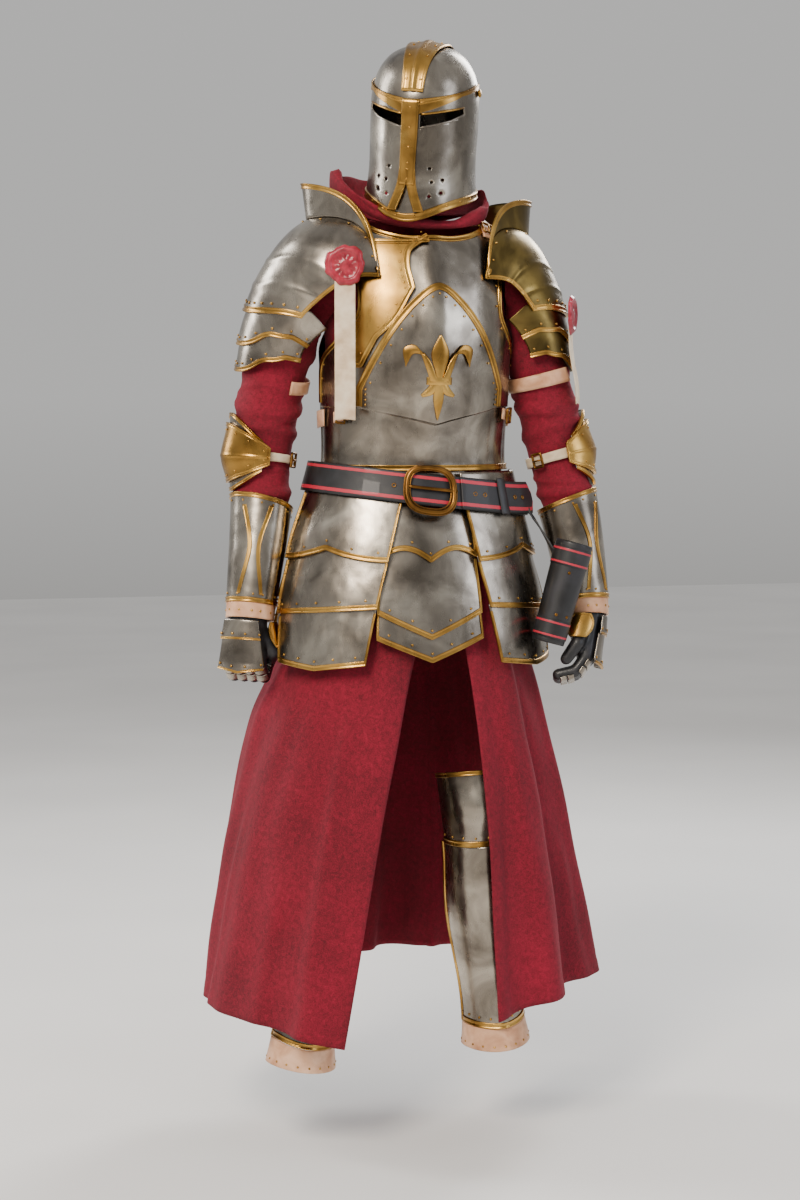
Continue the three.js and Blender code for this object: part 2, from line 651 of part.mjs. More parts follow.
// The dome seen along a ray: u is the ray's angle from the front over the crown, v its distance to the side.
const DOME_CENTRE = 141;
const dome = form(
  (u, v) => {
    let [near, far] = [0, 400];
    for (let i = 0; i < 40; i++) {
      const mid = (near + far) / 2;
      const [y, z] = [-mid * Math.cos(u), DOME_CENTRE + mid * Math.sin(u)];
      const r = rowAt(HELM, "z", Math.min(z, HELM_TOP));
      const inside = (v / r.side) ** 2 + (y / (y < 0 ? r.front : r.back)) ** 2 < 1 && z < HELM_TOP;
      if (inside) near = mid;
      else far = mid;
    }
    return new THREE.Vector3(v, -near * Math.cos(u), DOME_CENTRE + near * Math.sin(u));
  },
  () => ({ centre: new THREE.Vector3(0, 0, DOME_CENTRE), step: 3 }),
);

function addHelmBands() {
  const edges = [0, 0.14, 0.5, 0.86, 1];
  const rolled = (s) => (s < 0.1 || s > 0.9 ? BORDER : 0);
  const crest = sheet({
    on: dome,
    at: (s, t) => [lerp(23, 186, t) * DEGREE, (2 * s - 1) * lerp(17, 31, smooth(t * 2.2))],
    lift: () => PLATE + 2.4,
    thick: 1.6,
    raise: (s) => rolled(s) + 2.5 * bump(s, 0.5, 0.1),
    across: edges,
    down: steps(12),
  });
  add("helm_crest", crest, "brass", helmet);

  const browTop = (a) => 172 + 0.2 * Math.abs(a);
  const browDepth = (a) => 7 + 19 * clamp01(1 - Math.abs(a) / 56);
  const brow = sheet({
    on: helm,
    at: (s, t) => {
      const a = lerp(-94, 94, s);
      return [a * DEGREE, browTop(a) - t * browDepth(a)];
    },
    lift: () => PLATE + 1.3,
    thick: 1.4,
    raise: (s, t) => (t < 0.3 ? BORDER : 0),
    across: steps(12),
    down: [0, 0.28, 1],
  });
  add("helm_brow", brow, "brass", helmet);

  const nasalRows = { on: helm, lift: PLATE + 6, thick: 1.6, raise: rolled, across: [0, 0.2, 0.8, 1] };
  const bar = strip({
    ...nasalRows,
    path: [
      { u: 0, v: 173, wu: 8.5, wv: 0 },
      { u: 0, v: 34, wu: 7.5, wv: 0 },
    ],
    rows: 4,
  });
  const legs = [-1, 1].map((side) =>
    strip({
      ...nasalRows,
      path: [
        { u: side * 3.2, v: 62, wu: 4.6, wv: 0 },
        { u: side * 5.5, v: 30, wu: 4.6, wv: 0 },
        { u: side * 13, v: -8, wu: 4.8, wv: 0 },
      ],
      rows: 4,
    }),
  );
  add("helm_nasal", joined([bar, ...legs]), "brass", helmet);
}
addHelmBands();

// Cuirass: the breastplate's side edge at each height, and the heights of its parts.
const BREAST_EDGE = [
  { z: 1545, angle: 53 },
  { z: 1470, angle: 49 },
  { z: 1412, angle: 47 },
  { z: 1380, angle: 50 },
  { z: 1345, angle: 66 },
  { z: 1318, angle: 82 },
  { z: 1290, angle: 88 },
  { z: 1130, angle: 88 },
];
const CUIRASS_FOOT = 1128;
const PLACARD = { angle: 48, foot: 1206, side: 1234, shoulder: 1268, rise: 164 };
const KEEL = 7;
const keel = (angle) => KEEL * bump(angle, 0, 9);
const breastEdge = (z) => rowAt(BREAST_EDGE, "z", z).angle;
const placardTop = (q) => PLACARD.shoulder + PLACARD.rise * (1 - Math.abs(q) ** 1.6);
const lipHeight = (angle) => lerp(PLACARD.foot, PLACARD.side, clamp01(Math.abs(angle) / PLACARD.angle));

function addBreastplate() {
  const levels = [0, 0.04, 0.2, 0.35, 0.5, 0.6, 0.7, 0.85, "lip", "under", "foot"];
  const at = (s, level) => {
    const q = 2 * s - 1;
    const top = 1513 + 26 * q * q;
    const lip = lipHeight(q * 88);
    const heights = { lip, under: lip - 3, foot: CUIRASS_FOOT };
    const z = heights[level] ?? lerp(top, lip, level);
    return [q * breastEdge(z) * DEGREE, z];
  };
  const below = (level) => ["under", "foot"].includes(level);
  const geometry = sheet({
    on: trunk,
    at,
    lift: (s, level) => {
      const belly = below(level) ? 0 : 2.6 * smooth(level === "lip" ? 1 : level);
      return keel(at(s, level)[0] / DEGREE) + belly;
    },
    thick: PLATE,
    raise: (s, level) => (level === 0 ? BORDER : 0),
    across: steps(12),
    down: levels,
  });
  add("breastplate", geometry, "steel");
}
addBreastplate();

function addPlacard() {
  const geometry = sheet({
    on: trunk,
    at: (s, t) => {
      const q = 2 * s - 1;
      return [q * PLACARD.angle * DEGREE, lerp(placardTop(q), lipHeight(q * PLACARD.angle) + 2, t)];
    },
    lift: (s, t) => keel((2 * s - 1) * PLACARD.angle) + PLATE + 4.6,
    thick: PLATE,
    raise: (s, t) => (t < 0.03 || s < 0.02 || s > 0.98 ? BORDER : 0),
    across: [0, 0.03, ...steps(8, 0.08, 0.92), 0.97, 1],
    down: [0, 0.025, 0.05, 0.35, 0.7, 1],
  });
  add("placard", geometry, "steel");
}
addPlacard();

// The thin brass plate on the right of the chest, between the neckline and the placard's arch.
function addChestPlate() {
  const inner = (t) => rowAt([{ t: 0, u: -3 }, { t: 0.25, u: -14 }, { t: 1, u: -13 }], "t", t).u;
  const geometry = sheet({
    on: trunk,
    at: (s, t) => {
      const guess = lerp(inner(t), -62, s);
      const overPlacard = Math.abs(guess) < PLACARD.angle ? placardTop(guess / PLACARD.angle) + 15 : 0;
      const foot = Math.max(1300, overPlacard);
      const z = lerp(1506, foot, t);
      return [lerp(inner(t), -Math.min(62, breastEdge(z) - 2.5), s) * DEGREE, z];
    },
    lift: (s, t) => keel(lerp(inner(t), -62, s)) + PLATE + 5.6,
    thick: 1.2,
    raise: (s) => (s < 0.03 ? BORDER : 0),
    across: [0, 0.06, ...steps(4, 0.2, 1)],
    down: steps(5),
  });
  add("chest_plate", geometry, "brass");
}
addChestPlate();

// The placard's badge: a lily in raised brass, three petals, a band and a foot.
const BADGE = { z: 1300, lift: 2 * PLATE + 6.2, thick: 2.2 };

function addBadge() {
  const band = [
    { k: 0, x: 0, z: -15, w: 20, tilt: 0 },
    { k: 1, x: 0, z: -27, w: 20, tilt: 0 },
  ];
  const petal = (path) =>
    sheet({
      on: trunk,
      at: (s, t) => {
        const r = rowAt(path, "k", t * (path.length - 1));
        const x = r.x + (2 * s - 1) * r.w;
        return [Math.asin(x / FRONT_RADIUS), BADGE.z + r.z + (2 * s - 1) * r.tilt];
      },
      lift: (s, t) => {
        const r = rowAt(path, "k", t * (path.length - 1));
        const angle = Math.asin((r.x + (2 * s - 1) * r.w) / FRONT_RADIUS) / DEGREE;
        return BADGE.lift - (path === band ? 0.8 : 0) + keel(angle);
      },
      thick: BADGE.thick + (path === band ? 1.6 : 0),
      across: path === band ? steps(6) : [0, 1],
      down: steps(path === band ? 1 : 4),
    });
  const middle = [
    { k: 0, x: 0, z: 52, w: 0.8, tilt: 0 },
    { k: 1, x: 0, z: 22, w: 14, tilt: 0 },
    { k: 2, x: 0, z: -14, w: 6, tilt: 0 },
    { k: 3, x: 0, z: -50, w: 8, tilt: 0 },
    { k: 4, x: 0, z: -84, w: 0.8, tilt: 0 },
  ];
  const outer = (side) => [
    { k: 0, x: side * 50, z: 4, w: side * 1.5, tilt: -3 },
    { k: 1, x: side * 47, z: 26, w: side * 8, tilt: 4 },
    { k: 2, x: side * 27, z: 24, w: side * 8, tilt: 10 },
    { k: 3, x: side * 13, z: -8, w: side * 6, tilt: 4 },
    { k: 4, x: side * 9, z: -22, w: side * 5, tilt: 0 },
  ];
  const tail = (side) => [
    { k: 0, x: side * 7, z: -24, w: side * 5, tilt: 0 },
    { k: 1, x: side * 14, z: -38, w: side * 5, tilt: 4 },
    { k: 2, x: side * 26, z: -46, w: side * 1.5, tilt: 2 },
  ];
  const paths = [middle, outer(-1), outer(1), tail(-1), tail(1), band];
  add("badge", joined(paths.map(petal)), "brass");
}
addBadge();

function addBackplate() {
  const geometry = sheet({
    on: trunk,
    at: (s, t) => {
      const q = 2 * s - 1;
      const z = lerp(1522 + 14 * q * q, CUIRASS_FOOT, t);
      return [(180 + q * Math.min(breastEdge(z) + 1, 89)) * DEGREE, z];
    },
    lift: () => 0,
    thick: PLATE,
    raise: (s, t) => (t === 0 ? BORDER : 0),
    across: steps(10),
    down: [0, 0.03, 0.3, 0.42, 0.5, 0.58, 0.75, 1],
  });
  add("backplate", geometry, "steel");
}
addBackplate();

// Straps of the cuirass: one over each shoulder and one at each side.
const STRAP = {
  x: { [RIGHT]: 113, [LEFT]: 98 },
  half: 9,
  centre: 1470,
  onRobe: ROBE_LIFT + CLOTH + 0.5,
  onPlate: PLATE + BORDER + 1,
};

// The trunk met by a ray in an upright plane: u turns from the front over the shoulder, v places the plane.
const shoulderForm = form(
  (u, v) => {
    let [near, far] = [0, 200];
    for (let i = 0; i < 30; i++) {
      const mid = (near + far) / 2;
      const [y, z] = [-mid * Math.cos(u), STRAP.centre + mid * Math.sin(u)];
      const r = rowAt(TRUNK, "z", z);
      const inside = ((v - r.cx) / r.side) ** 2 + (y / (y < 0 ? r.front : r.back)) ** 2 < 1;
      if (inside) near = mid;
      else far = mid;
    }
    return new THREE.Vector3(v, -near * Math.cos(u), STRAP.centre + near * Math.sin(u));
  },
  (u, v) => ({ centre: new THREE.Vector3(v * 0.6, 0, STRAP.centre), step: 2 }),
);

for (const side of [RIGHT, LEFT]) {
  const over = sheet({
    on: shoulderForm,
    at: (s, t) => [lerp(32, 148, t) * DEGREE, side * (STRAP.x[side] + lerp(-STRAP.half, STRAP.half, s))],
    lift: (s, t) => lerp(STRAP.onRobe, STRAP.onPlate, smooth((Math.abs(2 * t - 1) - 0.2) / 0.25)),
    thick: LEATHER,
    across: [0, 1],
    down: steps(12),
  });
  add("shoulder_strap_" + nameOf(side), over, "tan");

  const beside = strip({
    on: trunk,
    path: [
      { u: side * 80, v: 1216, wu: 0, wv: 14 },
      { u: side * 98, v: 1212, wu: 0, wv: 14 },
    ],
    lift: PLATE + 3,
    thick: LEATHER,
    rows: 4,
  });
  add("side_strap_" + nameOf(side), beside, "tan");
}

// Fauld: three joined lames in front, a tasset of three lames at each side and a culet behind.
const vee = (s) => 1 - Math.abs(2 * s - 1);
const FAULD = {
  front: [
    () => 1127.4,
    (s) => 984 + 16 * Math.abs(Math.sin(2 * Math.PI * s)) - 8 * vee(s),
    (s) => 892 - 42 * vee(s),
    (s) => 850 - 38 * vee(s),
  ],
  side: [() => 1124, (s) => 976 + 18 * vee(s) ** 2, (s) => 900 - 14 * s, (s) => 808 - 10 * vee(s)],
  back: [() => 1127.4, (s) => 984 + 10 * vee(s), () => 912, (s) => 862 - 12 * vee(s)],
};

function addFauld() {
  const front = lames({
    on: trunk,
    left: () => -25,
    right: () => 22,
    levels: FAULD.front,
    lift: 3,
    step: 5,
    columns: 6,
  });
  add("fauld", front, "steel");
  for (const side of [RIGHT, LEFT]) {
    const inner = (v) => side * lerp(30, 16, clamp01((v - 800) / 300));
    const geometry = lames({
      on: trunk,
      left: inner,
      right: (v) => side * lerp(76, 92, clamp01((v - 800) / 300)),
      levels: FAULD.side,
      lift: 13.4,
      step: 5,
      columns: 5,
    });
    add("tasset_" + nameOf(side), geometry, "steel");
  }
  const behind = lames({
    on: trunk,
    left: () => 97,
    right: () => 263,
    levels: FAULD.back,
    lift: 3,
    step: 5,
    columns: 8,
  });
  add("culet", behind, "steel");
}
addFauld();

// Shoulder guards: a cop with an upright flange round the neck, and two lames down the arm.
const COP_LIFT = 8;
const FLANGE_HEIGHT = 58;
const NECK_EDGE = { [RIGHT]: 1.05, [LEFT]: 1.2 };
const neckEdge = (u, side) => NECK_EDGE[side] * bump(u, 92 * DEGREE, 0.9);
const copFoot = (u) => 2.2 + 0.72 * Math.sin(u);

function guardForm(side) {
  const base = shoulder[side];
  const rowOf = (u, v) => lerp(neckEdge(u, side), copFoot(u), Math.max(v, 0));
  const neck = new THREE.Vector3(0, 0, 1480);
  return form(
    (u, v) => {
      const height = Math.max(-v, 0) * (5 + FLANGE_HEIGHT * bump(u, 95 * DEGREE, 1));
      const rise = new THREE.Vector3(side * 0.1, 0.1, 0.99).multiplyScalar(height);
      return above(base, u, rowOf(u, v), COP_LIFT).add(rise);
    },
    (u, v) => ({ centre: v < 0 ? neck : base.axis(u, rowOf(u, v)).centre, step: 0.02 }),
  );
}

for (const side of [RIGHT, LEFT]) {
  const onGuard = guardForm(side);
  const cop = sheet({
    on: onGuard,
    at: (s, v) => [lerp(4, 176, s) * DEGREE, v],
    lift: () => 0,
    thick: PLATE,
    raise: (s, v) => (v === -1 || v > 0.95 ? BORDER : 0),
    across: steps(10),
    down: [-1, -0.86, 0, 0.12, 0.36, 0.62, 0.93, 0.965, 1],
  });
  add("shoulder_cop_" + nameOf(side), cop, "steel");
  [[-0.22, 0.72, 3.6], [0.5, 1.5, 0]].forEach(([from, to, lift], i) => {
    const lame = sheet({
      on: shoulder[side],
      at: (s, t) => {
        const u = lerp(-24, 198, s) * DEGREE;
        const foot = copFoot(Math.min(Math.max(u, 0), Math.PI));
        return [u, foot + lerp(from, to, t) - 0.12 * bump(u, 0.55, 0.25) * t];
      },
      lift: () => lift,
      thick: PLATE,
      raise: lastEdge(0.2),
      across: steps(8),
      down: borderRows(2, 0.2),
    });
    add("shoulder_lame_" + (i + 1) + "_" + nameOf(side), lame, "steel");
  });
  const strap = strip({
    on: arm[side],
    path: [
      { u: side === RIGHT ? -18 : 40, v: 2.42, wu: 0, wv: 0.15 },
      { u: -160, v: 2.3, wu: 0, wv: 0.15 },
    ],
    lift: 9,
    thick: LEATHER,
    rows: 7,
  });
  add("arm_strap_" + nameOf(side), strap, "tan");
}

// Arm plates: elbow cop, its upper and lower lames, its strap, forearm guard and wrist leather.
const guardRadius = (row, u, v) => Array(2).fill(lerp(51, 39, clamp01((v - 5) / 3.2)));
const COP_SPAN = { from: 2, to: 168 };

for (const side of [RIGHT, LEFT]) {
  const forearm = limbForm(ARMS[side], side, guardRadius);
  const halfCop = (s) => 0.26 + 0.4 * Math.sin(Math.PI * s) ** 0.8;
  const elbow = sheet({
    on: arm[side],
    at: (s, t) => [lerp(COP_SPAN.from, COP_SPAN.to, s) * DEGREE, 4.02 + (2 * t - 1) * halfCop(s)],
    lift: (s, t) => 13 + 12 * bump(s, 0.5, 0.3) * bump(t, 0.5, 0.35),
    thick: PLATE,
    raise: (s, t) => (t > 0.95 || t < 0.05 ? BORDER : 0),
    across: steps(8),
    down: [0, 0.1, 0.3, 0.5, 0.7, 0.9, 1],
  });
  add("elbow_cop_" + nameOf(side), elbow, "brass");
  const under = sheet({
    on: arm[side],
    at: (s, t) => {
      const half = 0.88 * (0.5 + 0.5 * Math.sin(Math.PI * s));
      return [lerp(14, 156, s) * DEGREE, 4.06 + (2 * t - 1) * half];
    },
    lift: () => 9.8,
    thick: PLATE,
    across: steps(6),
    down: steps(6),
  });
  add("elbow_lame_" + nameOf(side), under, "steel");
  const strap = strip({
    on: arm[side],
    path: [
      { u: 8, v: 4.0, wu: 0, wv: 0.14 },
      { u: -96, v: 4.06, wu: 0, wv: 0.11 },
      { u: -200, v: 4.0, wu: 0, wv: 0.14 },
    ],
    lift: 6,
    thick: LEATHER,
    rows: 9,
  });
  add("elbow_strap_" + nameOf(side), strap, "tan");

  const tube = sheet({
    on: forearm,
    at: (s, v) => [2 * Math.PI * s, v - 0.16 * Math.sin(2 * Math.PI * s) * clamp01(6 - v)],
    lift: () => 0,
    thick: PLATE,
    raise: (s, v) => (v < 5.25 || v > 7.85 ? BORDER : 0),
    across: steps(12).slice(0, -1),
    down: [5.16, 5.26, 6.5, 7.84, 7.95],
    isTube: true,
  });
  const bands = [-1, 1].map((turn) =>
    strip({
      on: forearm,
      path: [
        { u: 20 + turn * 26, v: 5.4, wu: 4.2, wv: 0 },
        { u: 20 + turn * 9, v: 6.5, wu: 4.2, wv: 0 },
        { u: 20 + turn * 26, v: 7.75, wu: 4.2, wv: 0 },
      ],
      lift: PLATE - 1.6,
      thick: 2.8,
      rows: 5,
    }),
  );
  add("forearm_guard_" + nameOf(side), joined([tube, ...bands]), "steel");

  const leather = sheet({
    on: forearm,
    at: (s, v) => [2 * Math.PI * s, v],
    lift: () => -1,
    thick: LEATHER,
    across: steps(12).slice(0, -1),
    down: [7.96, 8.38],
    isTube: true,
  });
  add("wrist_leather_" + nameOf(side), leather, "tan");
}

// Gloves: a hollow glove with its cuff open, the right one closed as round a grip, the left one relaxed.
const FINGERS = { spacing: 18, radius: 12, lengths: [35, 29], start: { y: -2, z: -64 } };
const GLOVE_WALL = 2.4;
const CUFF_RADIUS = 35;
const HANDS = {
  [RIGHT]: { turn: 36, shift: -2, bends: [52, 150], thumb: [[42, 18, -44], [24, 46, -62]] },
  [LEFT]: { turn: 70, shift: 0, bends: [38, 80], thumb: [[46, 14, -46], [44, 34, -72]] },
};
// The points of a rough ball, and the smallest convex body round several balls.
function ball([x, y, z], radius) {
  const shape = new THREE.OctahedronGeometry(radius * 1.12, 0).rotateY(Math.PI / 4);
  const position = shape.translate(x, y, z).getAttribute("position");
  const pointOf = (_, i) => new THREE.Vector3().fromBufferAttribute(position, i);
  return Array.from({ length: position.count }, pointOf);
}
const hull = (...balls) => toSolid(new ConvexGeometry(balls.flat()));
const unite = (solids) => solids.reduce((all, one) => all.add(one));

// The points along a bent finger, from its knuckle to its tip.
function fingerPoints(x, bends) {
  const points = [[x, FINGERS.start.y, FINGERS.start.z]];
  bends.forEach((bend, i) => {
    const [, y, z] = points[i];
    const length = FINGERS.lengths[i];
    points.push([x, y + length * Math.sin(bend * DEGREE), z - length * Math.cos(bend * DEGREE)]);
  });
  return points;
}

function gloveSolid(side, shrink, cuffTop) {
  const { bends, thumb } = HANDS[side];
  const ring = (z) => steps(12, 0, 2 * Math.PI).map((a) => {
    const r = CUFF_RADIUS - shrink;
    return new THREE.Vector3(r * Math.cos(a), r * Math.sin(a), z);
  });
  const knuckles = [-25, 25].map((x) => ball([x, 0, -66], 17 - shrink));
  const base = [-side * 24, 4, -14];
  const [middle, tip] = thumb.map(([x, y, z]) => [-side * x, y, z]);
  const parts = [
    hull(ring(0), ring(cuffTop)),
    hull(ring(0), ...knuckles),
    hull(ball(base, 15 - shrink), ball(middle, 13 - shrink)),
  ];
  const xs = [-1.5, -0.5, 0.5, 1.5].map((i) => i * FINGERS.spacing);
  if (shrink > 0) {
    const ends = (i) => [xs[0], xs[3]].flatMap((x) => fingerPoints(x, bends).slice(i, i + 2));
    return unite([...parts, ...[0, 1].map((i) => hull(...ends(i).map((p) => ball(p, 5))))]);
  }
  const finger = (x) => {
    const points = fingerPoints(x, bends);
    return points.slice(1).map((p, i) => hull(ball(points[i], FINGERS.radius), ball(p, FINGERS.radius - 1)));
  };
  return unite([...parts, hull(ball(middle, 13), ball(tip, 11)), ...xs.flatMap(finger)]);
}

for (const side of [RIGHT, LEFT]) {
  const { turn, shift } = HANDS[side];
  const { front, out } = arm[side].frame(8.5);
  const back = front.multiplyScalar(Math.cos(turn * DEGREE)).addScaledVector(out, Math.sin(turn * DEGREE));
  const up = arm[side].axis(0, 8.2).centre.sub(arm[side].axis(0, 8.8).centre).normalize();
  const inward = back.clone().negate();
  const hand = new THREE.Group();
  hand.name = "hand_" + nameOf(side);
  hand.position.copy(arm[side].axis(0, 8.5).centre);
  hand.position.x += shift;
  const basis = new THREE.Matrix4().makeBasis(inward.clone().cross(up), inward, up);
  hand.quaternion.setFromRotationMatrix(basis);
  suit.add(hand);
  const glove = gloveSolid(side, 0, 26).subtract(gloveSolid(side, GLOVE_WALL, 60));
  add("glove_" + nameOf(side), fromSolid(glove), "black", hand);

  const backOfHand = form(
    (u, v) => new THREE.Vector3(u, -(lerp(33, 19, clamp01(-v / 68)) + 2) + (u * u) / 130, v),
    () => ({ centre: new THREE.Vector3(0, 60, -30), step: 2 }),
  );
  const plate = lames({
    on: backOfHand,
    left: (v) => lerp(-30, -38, clamp01(-v / 70)) / DEGREE,
    right: (v) => lerp(30, 38, clamp01(-v / 70)) / DEGREE,
    levels: [() => 3, () => -28, (s) => -78 - 8 * vee(s)],
    lift: 0.6,
    step: 3,
    columns: 4,
  });
  add("hand_plate_" + nameOf(side), plate, "steel", hand);

  const besideThumb = form(
    (u, v) => new THREE.Vector3(-side * (40 + 0.28 * (-v - 8) - (u * u) / 40), 4 - 0.25 * v + u, v),
    () => ({ centre: new THREE.Vector3(0, 0, -30), step: 2 }),
  );
  const thumbPlate = sheet({
    on: besideThumb,
    at: (s, t) => [(2 * s - 1) * 15 * Math.cos(0.9 * (2 * t - 1)), lerp(2, -38, t)],
    lift: () => 9,
    thick: PLATE,
    across: steps(4),
    down: steps(3),
  });
  add("thumb_plate_" + nameOf(side), thumbPlate, "brass", hand);
}

// Leg plates: a knee cop, a shin guard and the leather at its foot.
for (const side of [RIGHT, LEFT]) {
  const knee = sheet({
    on: leg[side],
    at: (s, t) => [lerp(-84, 84, s) * DEGREE, lerp(0.25, 1.75, t)],
    lift: (s, t) => 2 + 10 * bump(s, 0.5, 0.28) * bump(t, 0.5, 0.3),
    thick: PLATE,
    raise: (s, t) => (t < 0.08 || t > 0.92 ? BORDER : 0),
    across: steps(8),
    down: [0, 0.1, 0.3, 0.5, 0.7, 0.9, 1],
  });
  add("knee_cop_" + nameOf(side), knee, "steel");
  const shin = sheet({
    on: leg[side],
    at: (s, t) => {
      const dip = 0.12 * Math.cos(Math.PI * (2 * s - 1));
      return [lerp(-98, 98, s) * DEGREE, lerp(1.762, 5.0, t) + dip * t];
    },
    lift: (s) => 1 + 5 * bump(s, 0.5, 0.08),
    thick: PLATE,
    raise: lastEdge(0.05),
    across: steps(8),
    down: borderRows(4, 0.05),
  });
  add("shin_guard_" + nameOf(side), shin, "steel");
  const foot = sheet({
    on: leg[side],
    at: (s, t) => [lerp(-104, 104, s) * DEGREE, lerp(5.02, 5.95, t) + 0.12 * Math.cos(Math.PI * (2 * s - 1))],
    lift: () => 1,
    thick: LEATHER,
    across: steps(8),
    down: [0, 1],
  });
  add("shin_leather_" + nameOf(side), foot, "tan");
}

// Belt: a full ring that slopes to the left, its free end and keeper, its buckle and the frog on the hip.
const BELT = { lift: 21, half: 27.5, middle: 1092, slope: 22 };
const beltHeight = (u) => BELT.middle - BELT.slope * Math.sin(u);
const beltForm = form(
  (u, v) => trunk.point(u, beltHeight(u) + v),
  (u, v) => trunk.axis(u, beltHeight(u) + v),
);

function addBelt() {
  const ring = sheet({
    on: beltForm,
    at: (s, v) => [2 * Math.PI * s, v * BELT.half],
    lift: () => BELT.lift,
    thick: 4,
    across: steps(26).slice(0, -1),
    down: [-1, 1],
    isTube: true,
  });
  const end = sheet({
    on: beltForm,
    at: (s, v) => [lerp(14, 68, s) * DEGREE, v * BELT.half * (s > 0.99 ? 0.55 : 1)],
    lift: (s) => BELT.lift + 3.8 + 12 * s ** 3,
    thick: 3.6,
    across: [...steps(7, 0, 0.95), 1],
    down: [-1, 1],
  });
  const keeper = sheet({
    on: beltForm,
    at: (s, v) => [lerp(37, 43, s) * DEGREE, v * (BELT.half + 3)],
    lift: () => BELT.lift + 6,
    thick: 7,
    across: [0, 0.5, 1],
    down: [-1, 1],
  });
  add("belt", joined([ring, end, keeper]), "black");
}
addBelt();

function addBuckle() {
  const ringAt = (angle, size) => {
    const [c, s] = [Math.cos(angle), Math.sin(angle)];
    const round = (value, half) => Math.sign(value) * half * Math.abs(value) ** 0.75;
    return [round(c, 38 * size), round(s, 44 * size)];
  };
  const place = (angle, size, height) => {
    const [x, z] = ringAt(angle, size);
    return above(beltForm, Math.asin(x / FRONT_RADIUS) - 3 * DEGREE, z, BELT.lift + height);
  };
  const angles = steps(14, 0, 2 * Math.PI).slice(0, -1);
  const ringsAt = (heights) => heights.map((height, i) => angles.map((a) => place(a, 0.8 + 0.1 * i, height)));
  const outer = ringsAt([6.2, 11, 6.2]);
  const inner = ringsAt([5.6, 5.6, 5.6]);
  const ring = wall(outer, inner, true);
  const prong = sheet({
    on: beltForm,
    at: (s, t) => [lerp(-15, 11, t) * DEGREE, (2 * s - 1) * 3],
    lift: () => BELT.lift + 8.6,
    thick: 4,
    across: [0, 1],
    down: steps(5),
  });
  add("belt_buckle", joined([ring, prong]), "brass");
}
addBuckle();

function addFrog() {
  const path = [
    { k: 0, x: 236, y: -134, z: 1006, r: 29 },
    { k: 1, x: 190, y: -130, z: 838, r: 25 },
  ];
  const holder = limbForm(path, LEFT, roundArm);
  const tube = sheet({
    on: holder,
    at: (s, v) => [2 * Math.PI * s, v],
    lift: () => 0,
    thick: LEATHER,
    across: steps(12).slice(0, -1),
    down: [0, 0.5, 1],
    isTube: true,
  });
  const hanger = form(
    (u, v) => {
      const t = u / DEGREE;
      const start = above(beltForm, 63 * DEGREE, 0, BELT.lift + 8).add(new THREE.Vector3(0, 0, v * 0.3 - 10));
      const finish = new THREE.Vector3(212, -126 + v, 968);
      return start.lerp(finish, t).add(new THREE.Vector3(0, -10 * Math.sin(Math.PI * t), 0));
    },
    () => ({ centre: new THREE.Vector3(0, 0, 900), step: 2 }),
  );
  const hang = sheet({
    on: hanger,
    at: (s, t) => [t * DEGREE, lerp(-14, 14, s)],
    lift: () => 0,
    thick: LEATHER,
    across: [0, 1],
    down: steps(5, 0, 1),
  });
  add("frog", joined([tube, hang]), "black");
}
addFrog();

// Seals: a wax disc on a shoulder guard, with a blank ribbon hanging from it.
const SEALS = {
  [RIGHT]: { x: -159.2, y: -115.9, z: 1466, turn: -14, ribbon: 236, swing: 0 },
  [LEFT]: { x: 254.6, y: -58.9, z: 1390, turn: 60, ribbon: 134, swing: 15 },
};

for (const side of [RIGHT, LEFT]) {
  const { x, y, z, turn, ribbon, swing } = SEALS[side];
  const seal = new THREE.Group();
  seal.name = "seal_" + nameOf(side) + "_group";
  seal.position.set(x, y, z);
  seal.rotation.z = turn * DEGREE;
  suit.add(seal);
  const rim = steps(12, 0, 2 * Math.PI).slice(0, -1);
  const circle = (r, depth) => rim.map((a) => {
    const wobble = r * (1 + 0.03 * Math.sin(3 * a + side));
    return new THREE.Vector3(wobble * Math.cos(a), -depth, wobble * Math.sin(a));
  });
  const front = [circle(0, 4), circle(20, 4), circle(26, 6.4), circle(33, 1)];
  const back = [circle(0, 0), circle(20, 0), circle(26, 0), circle(33, 0)];
  const disc = wall(front, back, true);
  const tail = (height) => [-17, 0, 17].map((across) => steps(6).map((t) => {
    const curl = 3 * Math.sin(2.2 * Math.PI * t);
    return new THREE.Vector3(across, 2.2 + curl * t - swing * t ** 1.6 - height, -18 - ribbon * t);
  }));
  add("seal_" + nameOf(side), disc, "wax", seal);
  add("seal_ribbon_" + nameOf(side), wall(tail(1.4), tail(0)), "tan", seal);
}

export default group;
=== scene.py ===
import math

import bmesh
import bpy
import numpy as np
from mathutils import Matrix, Vector


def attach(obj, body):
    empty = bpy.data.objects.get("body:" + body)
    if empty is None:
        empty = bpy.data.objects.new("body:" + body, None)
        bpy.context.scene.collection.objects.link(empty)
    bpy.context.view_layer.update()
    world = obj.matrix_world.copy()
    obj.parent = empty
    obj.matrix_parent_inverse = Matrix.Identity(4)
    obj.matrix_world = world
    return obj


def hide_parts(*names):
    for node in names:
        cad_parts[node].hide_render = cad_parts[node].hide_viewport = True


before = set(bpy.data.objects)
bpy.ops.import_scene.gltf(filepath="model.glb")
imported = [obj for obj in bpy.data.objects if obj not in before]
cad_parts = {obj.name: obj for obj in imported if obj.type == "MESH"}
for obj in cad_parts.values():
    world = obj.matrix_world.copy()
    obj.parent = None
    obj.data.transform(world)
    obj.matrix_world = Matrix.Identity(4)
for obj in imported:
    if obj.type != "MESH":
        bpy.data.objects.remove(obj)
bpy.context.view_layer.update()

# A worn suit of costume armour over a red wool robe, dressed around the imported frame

# Sizes are in millimetres above the floor, facing -Y; put() turns them to metres from the part's origin
MM = 0.001
ORIGIN_HEIGHT = 1500.0
CLOTH = 2.0
PLATE = 2.4
LEATHER = 3.0
RIGHT, LEFT = -1, 1
